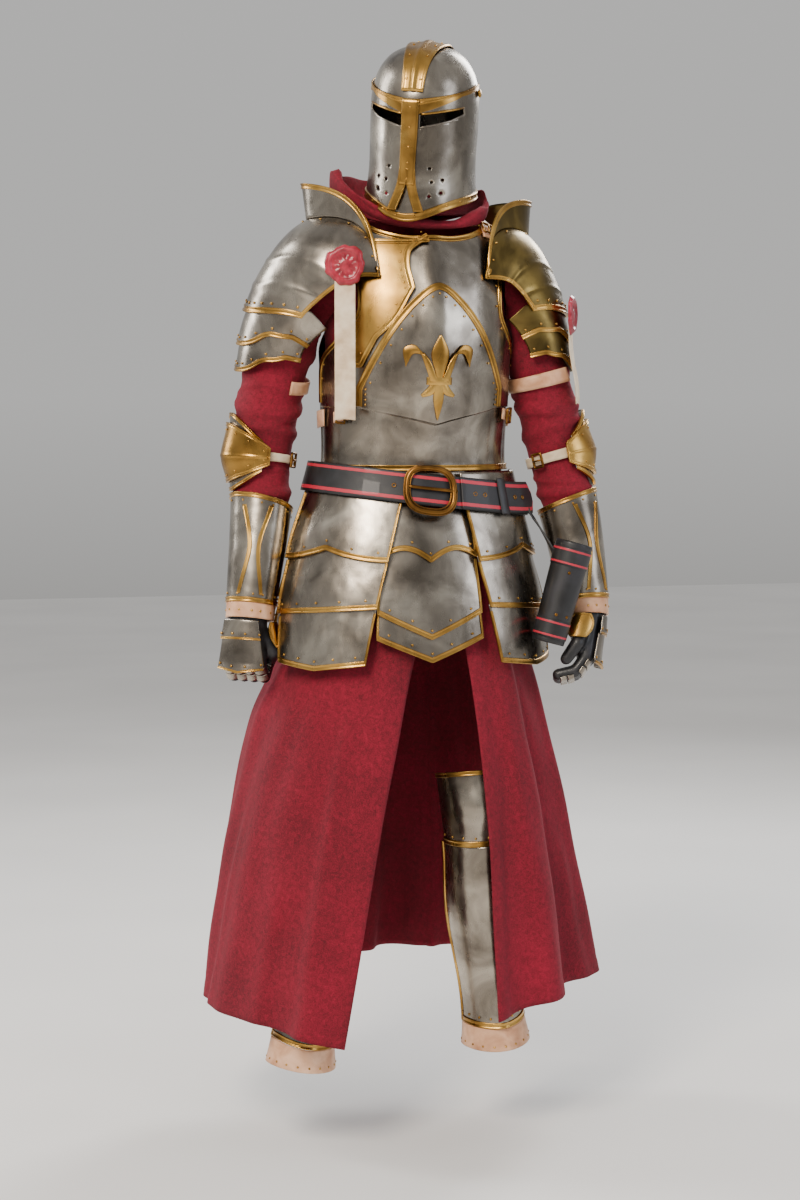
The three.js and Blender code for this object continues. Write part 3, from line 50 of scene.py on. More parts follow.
SIDES = {RIGHT: "right", LEFT: "left"}
DEGREE = math.pi / 180


def put(points):
    return (np.asarray(points, float) - [0.0, 0.0, ORIGIN_HEIGHT]) * MM


# Camera at the photograph's height and angle
CAMERA_LENS = 79.05
CAMERA_PLACE = (-1.270, -4.317, -0.250)
CAMERA_TILT, CAMERA_HEADING = 85.6, -16.0
camera_data = bpy.data.cameras.new("camera")
camera_data.lens = CAMERA_LENS
camera = bpy.data.objects.new("camera", camera_data)
camera.location = CAMERA_PLACE
camera.rotation_euler = (math.radians(CAMERA_TILT), 0.0, math.radians(CAMERA_HEADING))
bpy.context.scene.collection.objects.link(camera)
bpy.context.scene.camera = camera


# Tables: one column for each name, one row for each section
def table(names, *rows):
    """Columns by name, from rows of numbers."""
    return dict(zip(names.split(), np.array(rows, float).T))


TRUNK = table(
    "z cx side front back",
    (1575, -6, 66, 62, 66),
    (1556, -6, 100, 72, 78),
    (1513, -6, 152, 96, 94),
    (1470, -6, 166, 114, 106),
    (1412, -7, 166, 134, 114),
    (1330, -8, 162, 140, 113),
    (1240, -9, 159, 129, 105),
    (1144, -10, 157, 111, 99),
    (1100, -11, 166, 115, 106),
    (1000, -16, 194, 138, 130),
    (890, -18, 218, 152, 146),
    (780, -18, 226, 160, 152),
)
ARMS = {
    RIGHT: table(
        "k x y z r",
        (0, 176, 2, 1430, 57),
        (1, 203, 16, 1385, 52),
        (2, 236, 30, 1310, 49),
        (3, 252, 43, 1232, 50),
        (4, 260, 50, 1150, 45),
        (5, 264, 40, 1085, 42),
        (6, 273, 26, 1020, 36),
        (7, 283, 14, 960, 33),
        (8, 292, 4, 900, 31),
        (9, 300, -5, 840, 34),
    ),
    LEFT: table(
        "k x y z r",
        (0, 158, 1, 1430, 56),
        (1, 180, -3, 1385, 50),
        (2, 206, -8, 1310, 46),
        (3, 228, -11, 1232, 48),
        (4, 243, -15, 1150, 44),
        (5, 256, -28, 1085, 41),
        (6, 266, -43, 1020, 36),
        (7, 272, -57, 960, 33),
        (8, 276, -71, 900, 31),
        (9, 274, -84, 840, 34),
    ),
}
SHOULDERS = {
    RIGHT: table(
        "k x y z out front back",
        (0, 88, 2, 1440, 106, 110, 104),
        (1, 142, 6, 1436, 112, 110, 104),
        (2, 194, 15, 1400, 90, 84, 88),
        (3, 229, 25, 1354, 68, 71, 74),
        (4, 243, 31, 1306, 62, 66, 68),
        (5, 250, 37, 1258, 61, 63, 66),
    ),
    LEFT: table(
        "k x y z out front back",
        (0, 76, 2, 1440, 102, 104, 104),
        (1, 124, 4, 1434, 106, 104, 104),
        (2, 166, 0, 1398, 84, 83, 88),
        (3, 194, -5, 1352, 66, 70, 74),
        (4, 208, -9, 1304, 60, 65, 68),
        (5, 217, -11, 1256, 60, 63, 66),
    ),
}
LEGS = {
    RIGHT: table(
        "k x y z r",
        (0, 160, -56, 620, 66),
        (1, 168, -60, 545, 60),
        (2, 180, -62, 470, 56),
        (3, 198, -72, 370, 58),
        (4, 220, -96, 240, 47),
        (5, 232, -106, 175, 50),
        (6, 237, -109, 135, 56),
    ),
    LEFT: table(
        "k x y z r",
        (0, 70, -88, 640, 66),
        (1, 74, -96, 562, 60),
        (2, 80, -90, 485, 56),
        (3, 88, -86, 385, 58),
        (4, 100, -88, 255, 47),
        (5, 108, -90, 190, 50),
        (6, 112, -91, 148, 56),
    ),
}
HELM = table(
    "z cx side front back",
    (-34, 0, 92, 121, 106),
    (0, 0, 90, 120, 106),
    (50, 0, 86, 113, 107),
    (120, 0, 87, 108, 109),
    (172, 0, 86, 105, 108),
    (203, 0, 78, 95, 98),
    (227, 0, 63, 77, 80),
    (241, 0, 43, 53, 55),
    (248, 0, 18, 22, 23),
    (250, 0, 3, 4, 4),
)
COWL_CENTRE = -14
COWL_TILT = 11
COWL = table(
    "k side front back zSide zFront zBack",
    (0, 120, 90, 120, 1567, 1532, 1547),
    (1, 128, 98, 146, 1584, 1535, 1564),
    (2, 130, 102, 158, 1606, 1540, 1606),
    (3, 128, 103, 144, 1612, 1541, 1626),
    (4, 125, 102, 130, 1576, 1535, 1598),
    (5, 106, 80, 100, 1566, 1532, 1568),
    (6, 78, 74, 78, 1565, 1532, 1566),
)


def row_at(rows, key, value):
    """The table's columns at a value of its key, on a smooth curve through its rows."""
    x = rows[key]
    value = np.asarray(value, float)
    turn = 1 if x[1] > x[0] else -1
    high = np.clip(np.searchsorted(turn * x, turn * value, side="right"), 1, len(x) - 1)
    low = high - 1
    before, after = np.maximum(low - 1, 0), np.minimum(high + 1, len(x) - 1)
    span = x[high] - x[low]
    u = (value - x[low]) / span
    found = {}
    for name, column in rows.items():
        a, b = column[low], column[high]
        slope_a = (b - column[before]) / (x[high] - x[before]) * span
        slope_b = (column[after] - a) / (x[after] - x[low]) * span
        found[name] = (
            (2 * u**3 - 3 * u**2 + 1) * a
            + (u**3 - 2 * u**2 + u) * slope_a
            + (3 * u**2 - 2 * u**3) * b
            + (u**3 - u**2) * slope_b
        )
    return found


def lerp(a, b, t):
    return a + (b - a) * t


def smooth(t):
    t = np.clip(t, 0, 1)
    return t * t * (3 - 2 * t)


def bump(x, centre, width):
    return np.exp(-(((x - centre) / width) ** 2))


def stack(x, y, z):
    return np.stack(np.broadcast_arrays(x, y, z), -1).astype(float)


def arrays(*values):
    return np.broadcast_arrays(*(np.asarray(value, float) for value in values))


def unit(vectors):
    return vectors / np.maximum(np.linalg.norm(vectors, axis=-1, keepdims=True), 1e-9)


# Forms: smooth surfaces point(u, v) round a centre line, on which every piece lies
class Form:
    def __init__(self, point, centre, step):
        self.point, self.centre, self.step = point, centre, step

    def normal(self, u, v):
        du = 0.4 * DEGREE
        across = self.point(u + du, v) - self.point(u - du, v)
        down = self.point(u, v + self.step) - self.point(u, v - self.step)
        normal = unit(np.cross(across, down))
        inward = np.sum(normal * (self.point(u, v) - self.centre(u, v)), -1, keepdims=True) < 0
        return np.where(inward, -normal, normal)

    def above(self, u, v, height):
        u, v, height = np.broadcast_arrays(np.asarray(u, float), v, height)
        return self.point(u, v) + self.normal(u, v) * height[..., None]


def ray_end(u, v, height, reach, halvings, is_inside):
    """Where a ray leaves a body: it starts at x = v and that height, turned u from the front to upright."""
    u, v = arrays(u, v)
    near, far = 0 * u, 0 * u + reach
    for _ in range(halvings):
        mid = (near + far) / 2
        inside = is_inside(v, -mid * np.cos(u), height + mid * np.sin(u))
        near, far = np.where(inside, mid, near), np.where(inside, far, mid)
    return stack(v, -near * np.cos(u), height + near * np.sin(u))


def upright_form(rows):
    def point(u, v):
        r = row_at(rows, "z", v)
        depth = np.where(np.cos(u) > 0, r["front"], r["back"])
        return stack(r["cx"] + r["side"] * np.sin(u), -depth * np.cos(u), v)

    def centre(u, v):
        return stack(row_at(rows, "z", v)["cx"], 0, v - 40)

    return Form(point, centre, 1.5)


def limb_frame(rows, side, v):
    def centre(k):
        r = row_at(rows, "k", k)
        return stack(side * r["x"], r["y"], r["z"])

    along = unit(centre(v + 0.15) - centre(v - 0.15))
    front = unit(np.array([0.0, -1.0, 0.0]) + along * along[..., 1:2])
    out = unit(np.cross(front, along) * side)
    return centre(v), front, out


def limb_form(rows, side, radii):
    def point(u, v):
        u, v = arrays(u, v)
        middle, front, out = limb_frame(rows, side, v)
        f, o = radii(row_at(rows, "k", v), u, v)
        return middle + front * (f * np.cos(u))[..., None] + out * (o * np.sin(u))[..., None]

    def centre(u, v):
        return limb_frame(rows, side, np.asarray(v, float))[0]

    return Form(point, centre, 0.04)


def round_arm(row, u, v):
    return row["r"], row["r"]


def guard_radii(row, u, v):
    return np.where(np.cos(u) > 0, row["front"], row["back"]), row["out"]


def forearm_radii(row, u, v):
    r = lerp(51, 39, np.clip((v - 5) / 3.2, 0, 1))
    return r, r


def cowl_point(u, v):
    r = row_at(COWL, "k", v)
    c = np.cos(u)
    front = c > 0
    tilt = -COWL_TILT * np.sin(u) * np.sin(math.pi * v / 6) ** 2
    z = lerp(r["zSide"], np.where(front, r["zFront"], r["zBack"]), np.abs(c) ** 1.1) + tilt
    fold = 3 * np.sin(3 * u + 1.7 * v) * np.sin(math.pi * v / 6)
    depth = np.where(front, r["front"], r["back"])
    return stack(COWL_CENTRE + (r["side"] + fold) * np.sin(u), -(depth + fold) * c, z)


trunk = upright_form(TRUNK)
helm = upright_form(HELM)
arm = {side: limb_form(ARMS[side], side, round_arm) for side in SIDES}
forearm = {side: limb_form(ARMS[side], side, forearm_radii) for side in SIDES}
leg = {side: limb_form(LEGS[side], side, round_arm) for side in SIDES}
shoulder = {side: limb_form(SHOULDERS[side], side, guard_radii) for side in SIDES}
STILL = Matrix.Identity(4)


def metres(matrix, points):
    """Points of a turned group, in millimetres, as metres in the part's frame."""
    m = np.array(matrix)
    return put(points @ m[:3, :3].T + m[:3, 3])


# Materials
def linear(code):
    """An sRGB hex colour as the linear RGBA that shaders take."""
    channels = [int(code[i : i + 2], 16) / 255 for i in (0, 2, 4)]
    return tuple(c / 12.92 if c <= 0.04045 else ((c + 0.055) / 1.055) ** 2.4 for c in channels) + (1.0,)


def add_node(tree, kind, inputs=(), **settings):
    """A node with its settings; an input takes a value, or another node's output as (node, name)."""
    new = tree.nodes.new(kind)
    for name, value in settings.items():
        setattr(new, name, value)
    for name, value in dict(inputs).items():
        if isinstance(value, tuple) and isinstance(value[0], bpy.types.Node):
            tree.links.new(value[0].outputs[value[1]], new.inputs[name])
        else:
            new.inputs[name].default_value = value
    return new


def ramp(tree, source, *stops):
    """A colour ramp over a source, its stops as (place, hex colour)."""
    new = add_node(tree, "ShaderNodeValToRGB", {"Fac": source})
    elements = new.color_ramp.elements
    while len(elements) < len(stops):
        elements.new(0.5)
    for element, (place, code) in zip(elements, stops):
        element.position = place
        element.color = linear(code)
    return (new, "Color")


def grey(tree, source, low, high):
    """A source between 0 and 1 stretched between two numbers."""
    settings = {"Value": source, "To Min": low, "To Max": high, "From Min": 0.25, "From Max": 0.75}
    return (add_node(tree, "ShaderNodeMapRange", settings), "Result")


def noise(tree, where, feature_mm, detail=3.0, stretch=None, distortion=0.0):
    """Noise whose features are about that many millimetres across."""
    if stretch:
        where = (add_node(tree, "ShaderNodeMapping", {"Vector": where, "Scale": stretch}), "Vector")
    settings = {"Vector": where, "Scale": 1000.0 / feature_mm, "Detail": detail, "Distortion": distortion}
    return (add_node(tree, "ShaderNodeTexNoise", settings), "Fac")


def bumped(tree, height, depth_mm, strength=1.0, under=None):
    settings = {"Height": height, "Distance": depth_mm * MM, "Strength": strength}
    if under:
        settings["Normal"] = under
    return (add_node(tree, "ShaderNodeBump", settings), "Normal")


def new_material(name, make, **shader):
    """A material whose make(tree, where) gives the shader's linked inputs; the rest are constants."""
    material = bpy.data.materials.new(name)
    material.use_nodes = True
    tree = material.node_tree
    tree.nodes.clear()
    where = (add_node(tree, "ShaderNodeTexCoord"), "Object")
    inputs = make(tree, where)
    inputs.update(shader)
    surface = add_node(tree, "ShaderNodeBsdfPrincipled", inputs)
    add_node(tree, "ShaderNodeOutputMaterial", {"Surface": (surface, "BSDF")})
    material.diffuse_color = linear("888888")
    return material


def hammered_metal(light, mid, dark, smooth_low, smooth_high, dents=1.0):
    """Sheet metal planished by hand: slow dents bend its reflections, fine polish lines blur them. Its
    colour is partly random tone and partly painted reflection: a slow cloud of dark and light patches
    stands in for a dark room mirrored in the metal.
    """

    def make(tree, where):
        # The slow cloud sets the colour: partly random tone, partly painted reflection, its dark and light
        # patches standing in for a dark room mirrored in the metal.
        tone_and_reflection = noise(tree, where, 70, 4.0, distortion=0.6)
        colour = ramp(tree, tone_and_reflection, (0.3, dark), (0.5, mid), (0.72, light))
        smears = noise(tree, where, 22, 6.0, stretch=(1.0, 1.0, 0.4))
        slow = bumped(tree, noise(tree, where, 46, 1.5), 5.0 * dents, 0.35)
        dimples = add_node(
            tree,
            "ShaderNodeTexVoronoi",
            {"Vector": where, "Scale": 1000.0 / 16, "Smoothness": 0.8},
            feature="SMOOTH_F1",
        )
        hammer = bumped(tree, (dimples, "Distance"), 1.0 * dents, 0.14, slow)
        lines = bumped(tree, noise(tree, where, 1.4, 2.0, stretch=(1.0, 1.0, 0.12)), 0.1, 0.12, hammer)
        roughness = grey(tree, smears, smooth_low, smooth_high)
        return {"Base Color": colour, "Roughness": roughness, "Normal": lines}

    return make


def wool(tree, where):
    """Napped wool: short fibres hide the weave, catch light at grazing angles and lie in small tufts."""
    tuft = noise(tree, where, 7, 4.0, distortion=0.8)
    fibre = noise(tree, where, 1.6, 5.0)
    wear = noise(tree, where, 140, 2.0)
    nap = add_node(tree, "ShaderNodeMix", {0: 0.55, 2: tuft, 3: fibre}, data_type="FLOAT")
    shade = add_node(tree, "ShaderNodeMix", {0: 0.25, 2: (nap, "Result"), 3: wear}, data_type="FLOAT")
    colour = ramp(tree, (shade, "Result"), (0.34, "45020f"), (0.5, "6c041c"), (0.66, "8c0a2a"))
    pile = bumped(tree, fibre, 0.8, 0.5)
    return {"Base Color": colour, "Normal": bumped(tree, tuft, 1.0, 0.4, pile)}


def hide(dark, mid, light, grain_mm=1.6, wear_mm=30):
    """Leather: a fine pebbled grain with slow changes of tone where it was rubbed."""

    def make(tree, where):
        tone = noise(tree, where, wear_mm, 5.0, distortion=0.4)
        cells = add_node(tree, "ShaderNodeTexVoronoi", {"Vector": where, "Scale": 1000.0 / grain_mm})
        grain = bumped(tree, (cells, "Distance"), 0.25, 0.35)
        creases = bumped(tree, noise(tree, where, 9, 6.0), 0.7, 0.3, grain)
        return {
            "Base Color": ramp(tree, tone, (0.3, dark), (0.5, mid), (0.7, light)),
            "Roughness": grey(tree, tone, 0.42, 0.62),
            "Normal": creases,
        }

    return make


def striped_hide(tree, where):
    """Black leather whose two painted red lines run beside the edges; the UV map's v crosses the strap."""
    base = hide("0b0b0d", "151518", "222126")(tree, where)
    uv = add_node(tree, "ShaderNodeUVMap", uv_map="across")
    v = (add_node(tree, "ShaderNodeSeparateXYZ", {"Vector": (uv, "UV")}), "Y")
    middle = (add_node(tree, "ShaderNodeMath", {0: v, 1: 0.5}, operation="SUBTRACT"), "Value")
    away = (add_node(tree, "ShaderNodeMath", {0: middle}, operation="ABSOLUTE"), "Value")
    off = (add_node(tree, "ShaderNodeMath", {0: away, 1: 0.355}, operation="SUBTRACT"), "Value")
    line = (add_node(tree, "ShaderNodeMath", {0: off}, operation="ABSOLUTE"), "Value")
    worn = noise(tree, where, 5, 5.0)
    edge = (add_node(tree, "ShaderNodeMath", {0: worn, 1: 0.02}, operation="MULTIPLY"), "Value")
    width = (add_node(tree, "ShaderNodeMath", {0: edge, 1: 0.042}, operation="ADD"), "Value")
    painted = (add_node(tree, "ShaderNodeMath", {0: line, 1: width}, operation="LESS_THAN"), "Value")
    mixed = add_node(
        tree, "ShaderNodeMix", {0: painted, 6: base["Base Color"], 7: linear("b02236")}, data_type="RGBA"
    )
    base["Base Color"] = (mixed, 2)
    return base


def plain_wax(tree, where):
    """Sealing wax, its colour and gloss changing at random across it."""
    tone = noise(tree, where, 12, 4.0)
    return {
        "Base Color": ramp(tree, tone, (0.3, "700c1c"), (0.6, "a01a30"), (0.8, "b8324a")),
        "Roughness": grey(tree, tone, 0.25, 0.5),
        "Normal": bumped(tree, noise(tree, where, 5, 4.0), 0.8, 0.35),
    }


def parchment(tree, where):
    """Plain ribbon of parchment colour, its weave drawn a little coarse so that it shows."""
    tone = noise(tree, where, 24, 5.0)
    weave = add_node(tree, "ShaderNodeTexWave", {"Vector": where, "Scale": 260.0, "Distortion": 0.6})
    return {
        "Base Color": ramp(tree, tone, (0.3, "bfa383"), (0.5, "d9c3a4"), (0.7, "e6d6bd")),
        "Normal": bumped(tree, (weave, "Fac"), 0.2, 0.25),
    }


def metal(name, *look):
    return new_material(name, hammered_metal(*look), Metallic=1.0)


steel = metal("polished_steel", "b5ad9f", "8a8277", "625b52", 0.2, 0.34)
brass = metal("antique_brass", "d2a95c", "aa8140", "7d5c2b", 0.22, 0.38, 0.4)
# The left shoulder's brass with its colours darkened: painted shade and painted reflection for a guard that
# stands in shadow.
bronze = metal("brass_in_painted_shade", "8a7440", "5f4f2c", "352c1b", 0.24, 0.42, 0.6)
old_brass = metal("worn_buckle_brass", "a97c3e", "80592a", "4b3216", 0.28, 0.45, 0.3)
cloth = new_material(
    "napped_wool",
    wool,
    **{"Roughness": 0.95, "Sheen Weight": 0.12, "Sheen Roughness": 0.4, "Sheen Tint": linear("d0304e")},
)
tan = new_material("vegetable_tanned_leather", hide("b5805c", "cf9f7c", "e0b594"), **{"Coat Weight": 0.08})
cream = new_material("pale_strap_leather", hide("b8a283", "cfbb9c", "ddceb4", 2.0), **{"Coat Weight": 0.05})
black = new_material("black_leather", hide("0a0a0c", "141417", "232228"), **{"Coat Weight": 0.12})
striped = new_material("black_leather_red_lines", striped_hide, **{"Coat Weight": 0.12})
wax = new_material("sealing_wax", plain_wax, **{"Coat Weight": 0.25})
ribbon = new_material("parchment_ribbon", parchment, **{"Roughness": 0.85, "Sheen Weight": 0.1})


SLOTS = {
    steel.name: "steel",
    brass.name: "brass",
    bronze.name: "bronze",
    cloth.name: "red_cloth",
    tan.name: "tan_leather",
    cream.name: "tan_leather",
    black.name: "black_leather",
}


# Making pieces
def finish_mesh(name, bm, material):
    mesh = bpy.data.meshes.new(name)
    bm.to_mesh(mesh)
    bm.free()
    mesh.materials.append(material)
    mesh.polygons.foreach_set("use_smooth", [True] * len(mesh.polygons))
    piece = bpy.data.objects.new(name, mesh)
    bpy.context.scene.collection.objects.link(piece)
    return piece


def dress(piece, slot, *nodes):
    """The piece rides on the suit and stands for the nodes, which are hidden; the slot is not used."""
    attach(piece, "root")
    if nodes:
        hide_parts(*nodes)
    return piece


def joined(name, pieces):
    """Several pieces as one, with the first one's material slots and each one's own material kept."""
    bm = bmesh.new()
    materials = []
    for piece in pieces:
        evaluated = piece.evaluated_get(bpy.context.evaluated_depsgraph_get())
        mesh = bpy.data.meshes.new_from_object(evaluated)
        shift = len(materials)
        for material in mesh.materials:
            materials.append(material)
        for polygon in mesh.polygons:
            polygon.material_index += shift
        bm.from_mesh(mesh)
        bpy.data.meshes.remove(mesh)
        bpy.data.objects.remove(piece)
    unique = list(dict.fromkeys(materials))
    for face in bm.faces:
        face.material_index = unique.index(materials[face.material_index])
    whole = finish_mesh(name, bm, unique[0])
    for material in unique[1:]:
        whole.data.materials.append(material)
    return whole


def add_group(name, parts, slot="brass"):
    """Parts joined as one piece that stands for the node of its name."""
    return dress(joined(name, parts), slot, name)


def add_trim(name, parts):
    """Brass parts joined as one piece that stands for no node."""
    return dress(joined(name, parts), "brass")


def grid(columns, rows, surface):
    """A bmesh grid whose vertices are moved onto surface(s, t), with s and t also kept as a UV map."""
    bm = bmesh.new()
    bmesh.ops.create_grid(bm, x_segments=columns, y_segments=rows, size=0.5)
    uv = bm.loops.layers.uv.new("across")
    for face in bm.faces:
        for loop in face.loops:
            loop[uv].uv = (loop.vert.co.x + 0.5, loop.vert.co.y + 0.5)
    st = np.array([v.co[:2] for v in bm.verts]) + 0.5
    for vertex, point in zip(bm.verts, surface(st[:, 0], st[:, 1])):
        vertex.co = point
    return bm


def face_along(bm, directions):
    """Turns every face round if the vertices' normals mostly oppose these directions."""
    bm.normal_update()
    normals = np.array([v.normal for v in bm.verts])
    if np.sum(normals * directions) < 0:
        bmesh.ops.reverse_faces(bm, faces=bm.faces)


def close_seams(bm):
    bmesh.ops.remove_doubles(bm, verts=bm.verts, dist=0.00002)


def thicken(piece, thick):
    """The piece as a wall that grows inwards from its surface."""
    wall = piece.modifiers.new("wall", "SOLIDIFY")
    wall.thickness = thick * MM
    wall.offset = -1.0
    return piece


def shell(name, on, at, lift, thick, columns, rows, material, group=STILL, is_tube=False, crown=None):
    """A wall on a form: at(s, t) gives the form's coordinates, lift its inner face's height."""
    turn = np.array(group)[:3, :3]
    outwards = []

    def surface(s, t):
        u, v = arrays(*at(s, t))
        height = lift(s, t) if callable(lift) else lift
        points = on.above(u, v, height + thick)
        outwards.append(on.normal(u, v) @ turn.T)
        return metres(group, points if crown is None else crown(points, s, t))

    bm = grid(columns, rows, surface)
    face_along(bm, outwards[0])
    if is_tube or crown is not None:
        close_seams(bm)
    return thicken(finish_mesh(name, bm, material), thick)


# How each edge of a plate runs: s and t along it, and the small steps in s and t that lead inwards
SIDE_RUNS = {
    "top": lambda run: (run, 0 * run, 0, 0.02),
    "foot": lambda run: (run, 0 * run + 1, 0, -0.02),
    "start": lambda run: (0 * run, run, 0.02, 0),
    "end": lambda run: (0 * run + 1, run, -0.02, 0),
}


def outer_face(plate, s, t):
    """Points of a plate's outer face, with the form's own directions out of it."""
    lift = plate["lift"](s, t) if callable(plate["lift"]) else plate["lift"]
    u, v = arrays(*plate["at"](s, t))
    return plate["on"].above(u, v, lift + plate.get("thick", PLATE)), plate["on"].normal(u, v)


def edge_of(plate, side, count, start=0.0, end=1.0):
    """Points along a plate's edge on its outer face, with the directions into the plate and out of it."""
    s, t, ds, dt = SIDE_RUNS[side](line(count, start, end))
    edge, outward = outer_face(plate, s, t)
    along = unit(np.gradient(edge, axis=0))
    towards = outer_face(plate, s + ds, t + dt)[0] - edge
    towards = unit(towards - along * np.sum(towards * along, -1, keepdims=True))
    normal = unit(np.cross(along, towards))
    normal = np.where(np.sum(normal * outward, -1, keepdims=True) < 0, -normal, normal)
    return edge, towards, normal


def border(plate, side, width, start=0.0, end=1.0, count=48, height=1.1, bead=1.2):
    """A brass strip folded over a plate's edge, with a bead along each of its sides."""
    edge, towards, normal = edge_of(plate, side, count, start, end)
    group = plate.get("group", STILL)
    turn = np.array(group)[:3, :3]
    wrap = plate.get("thick", PLATE) + 0.4
    outwards = []

    def surface(s, t):
        i = np.rint(t * (count - 1)).astype(int)
        a = np.clip((s - 0.1) / 0.8, 0, 1)
        up = height + bead * (bump(a, 0.12, 0.12) + bump(a, 0.88, 0.12))
        up = np.where(s < 0.05, -wrap, np.where(s > 0.95, -0.3, up))
        inwards = a * width - 0.7
        outwards.append(normal[i] @ turn.T)
        return metres(group, edge[i] + towards[i] * inwards[:, None] + normal[i] * up[:, None])

    bm = grid(10, count - 1, surface)
    face_along(bm, outwards[0])
    return finish_mesh("border", bm, brass)


def borders(plate, widths, *share, **look):
    """Brass strips over several edges, their widths given by the edges' names."""
    return [border(plate, side, width, *share, **look) for side, width in widths.items()]


def studs(plate, side, inset, count, radius, start=0.03, end=0.97, height=1.0):
    """Brass domed rivet heads in a row along a plate's edge."""
    edge, towards, normal = edge_of(plate, side, count, start, end)
    points = edge + towards * inset + normal * height
    return rivets("studs", points, normal, radius, brass, plate.get("group", STILL))


def facing(point, normal):
    """A place whose z runs along the normal."""
    return Matrix.Translation(point) @ Vector(normal).to_track_quat("Z", "Y").to_matrix().to_4x4()


def rivets(name, points, normals, radius, material, group=STILL, height=0.55):
    """Low domed rivet heads, one at each point."""
    bm = bmesh.new()
    turn = np.array(group)[:3, :3]
    for point, normal in zip(metres(group, np.asarray(points, float)), np.asarray(normals, float) @ turn.T):
        size = Matrix.Diagonal((radius * MM, radius * MM, radius * height * MM, 1.0))
        place = facing(point, normal) @ size
        bmesh.ops.create_uvsphere(bm, u_segments=10, v_segments=6, radius=1.0, matrix=place)
    return finish_mesh(name, bm, material)


def tube(name, points, radius, material, group=STILL, closed=False, sides=3):
    """A round bead along points, made from a curve and kept as a mesh."""
    curve = bpy.data.curves.new(name, "CURVE")
    curve.dimensions = "3D"
    curve.bevel_depth = radius * MM
    curve.bevel_resolution = sides
    curve.use_fill_caps = True
    spline = curve.splines.new("POLY")
    spline.points.add(len(points) - 1)
    for slot, point in zip(spline.points, metres(group, np.asarray(points, float))):
        slot.co = (*point, 1.0)
    spline.use_cyclic_u = closed
    holder = bpy.data.objects.new(name + "_curve", curve)
    bpy.context.scene.collection.objects.link(holder)
    mesh = bpy.data.meshes.new_from_object(holder.evaluated_get(bpy.context.evaluated_depsgraph_get()))
    bpy.data.objects.remove(holder)
    bm = bmesh.new()
    bm.from_mesh(mesh)
    bpy.data.meshes.remove(mesh)
    bmesh.ops.remove_doubles(bm, verts=bm.verts, dist=0.00001)
    return finish_mesh(name, bm, material)


def line(n, a=0.0, b=1.0):
    return np.linspace(a, b, n)


def plate_piece(name, plate, columns, rows, material):
    return shell(
        name,
        plate["on"],
        plate["at"],
        plate["lift"],
        plate.get("thick", PLATE),
        columns,
        rows,
        material,
        plate.get("group", STILL),
        plate.get("is_tube", False),
        plate.get("crown"),
    )


def add_plate(name, plate, columns, rows, material):
    """A plate that stands for the node of its name."""
    return dress(plate_piece(name, plate, columns, rows, material), SLOTS[material.name], name)


def applied(piece, *cutters):
    """The piece with its modifiers made real, less the cutters."""
    for cutter in cutters:
        boolean = piece.modifiers.new("cut", "BOOLEAN")
        boolean.operation = "DIFFERENCE"
        boolean.solver = "EXACT"
        boolean.object = cutter
    mesh = bpy.data.meshes.new_from_object(piece.evaluated_get(bpy.context.evaluated_depsgraph_get()))
    piece.modifiers.clear()
    piece.data = mesh
    for cutter in cutters:
        bpy.data.objects.remove(cutter)
    return piece


def cone_piece(name, place, segments, radius, far_radius, depth, material):
    """A closed round body, its sizes and its place in millimetres."""
    bm = bmesh.new()
    size = {"radius1": radius, "radius2": far_radius, "depth": depth}
    bmesh.ops.create_cone(bm, cap_ends=True, segments=segments, matrix=place, **size)
    for vertex in bm.verts:
        vertex.co = put(vertex.co)
    return finish_mesh(name, bm, material)


def hull(name, balls, material):
    """The smallest convex body round balls given as (centre, radius), in metres."""
    bm = bmesh.new()
    for centre, radius in balls:
        place = Matrix.Translation(centre)
        bmesh.ops.create_uvsphere(bm, u_segments=14, v_segments=7, radius=radius, matrix=place)
    found = bmesh.ops.convex_hull(bm, input=bm.verts)
    inside = list({v for v in found["geom_interior"] if isinstance(v, bmesh.types.BMVert)})
    bmesh.ops.delete(bm, geom=inside, context="VERTS")
    return finish_mesh(name, bm, material)


def strap_along(name, on, path, lift, thick, material, columns=4):
    """A strap along a path of (u in degrees, v, half width in u, half width in v), and its plate."""
    rows_of = table("k u v wu wv", *[(k, *p) for k, p in enumerate(path)])

    def at(s, t):
        r = row_at(rows_of, "k", t * (len(path) - 1))
        return (r["u"] + (2 * s - 1) * r["wu"]) * DEGREE, r["v"] + (2 * s - 1) * r["wv"]

    plate = {"on": on, "at": at, "lift": lift, "thick": thick}
    return plate_piece(name, plate, columns, 40, material), plate


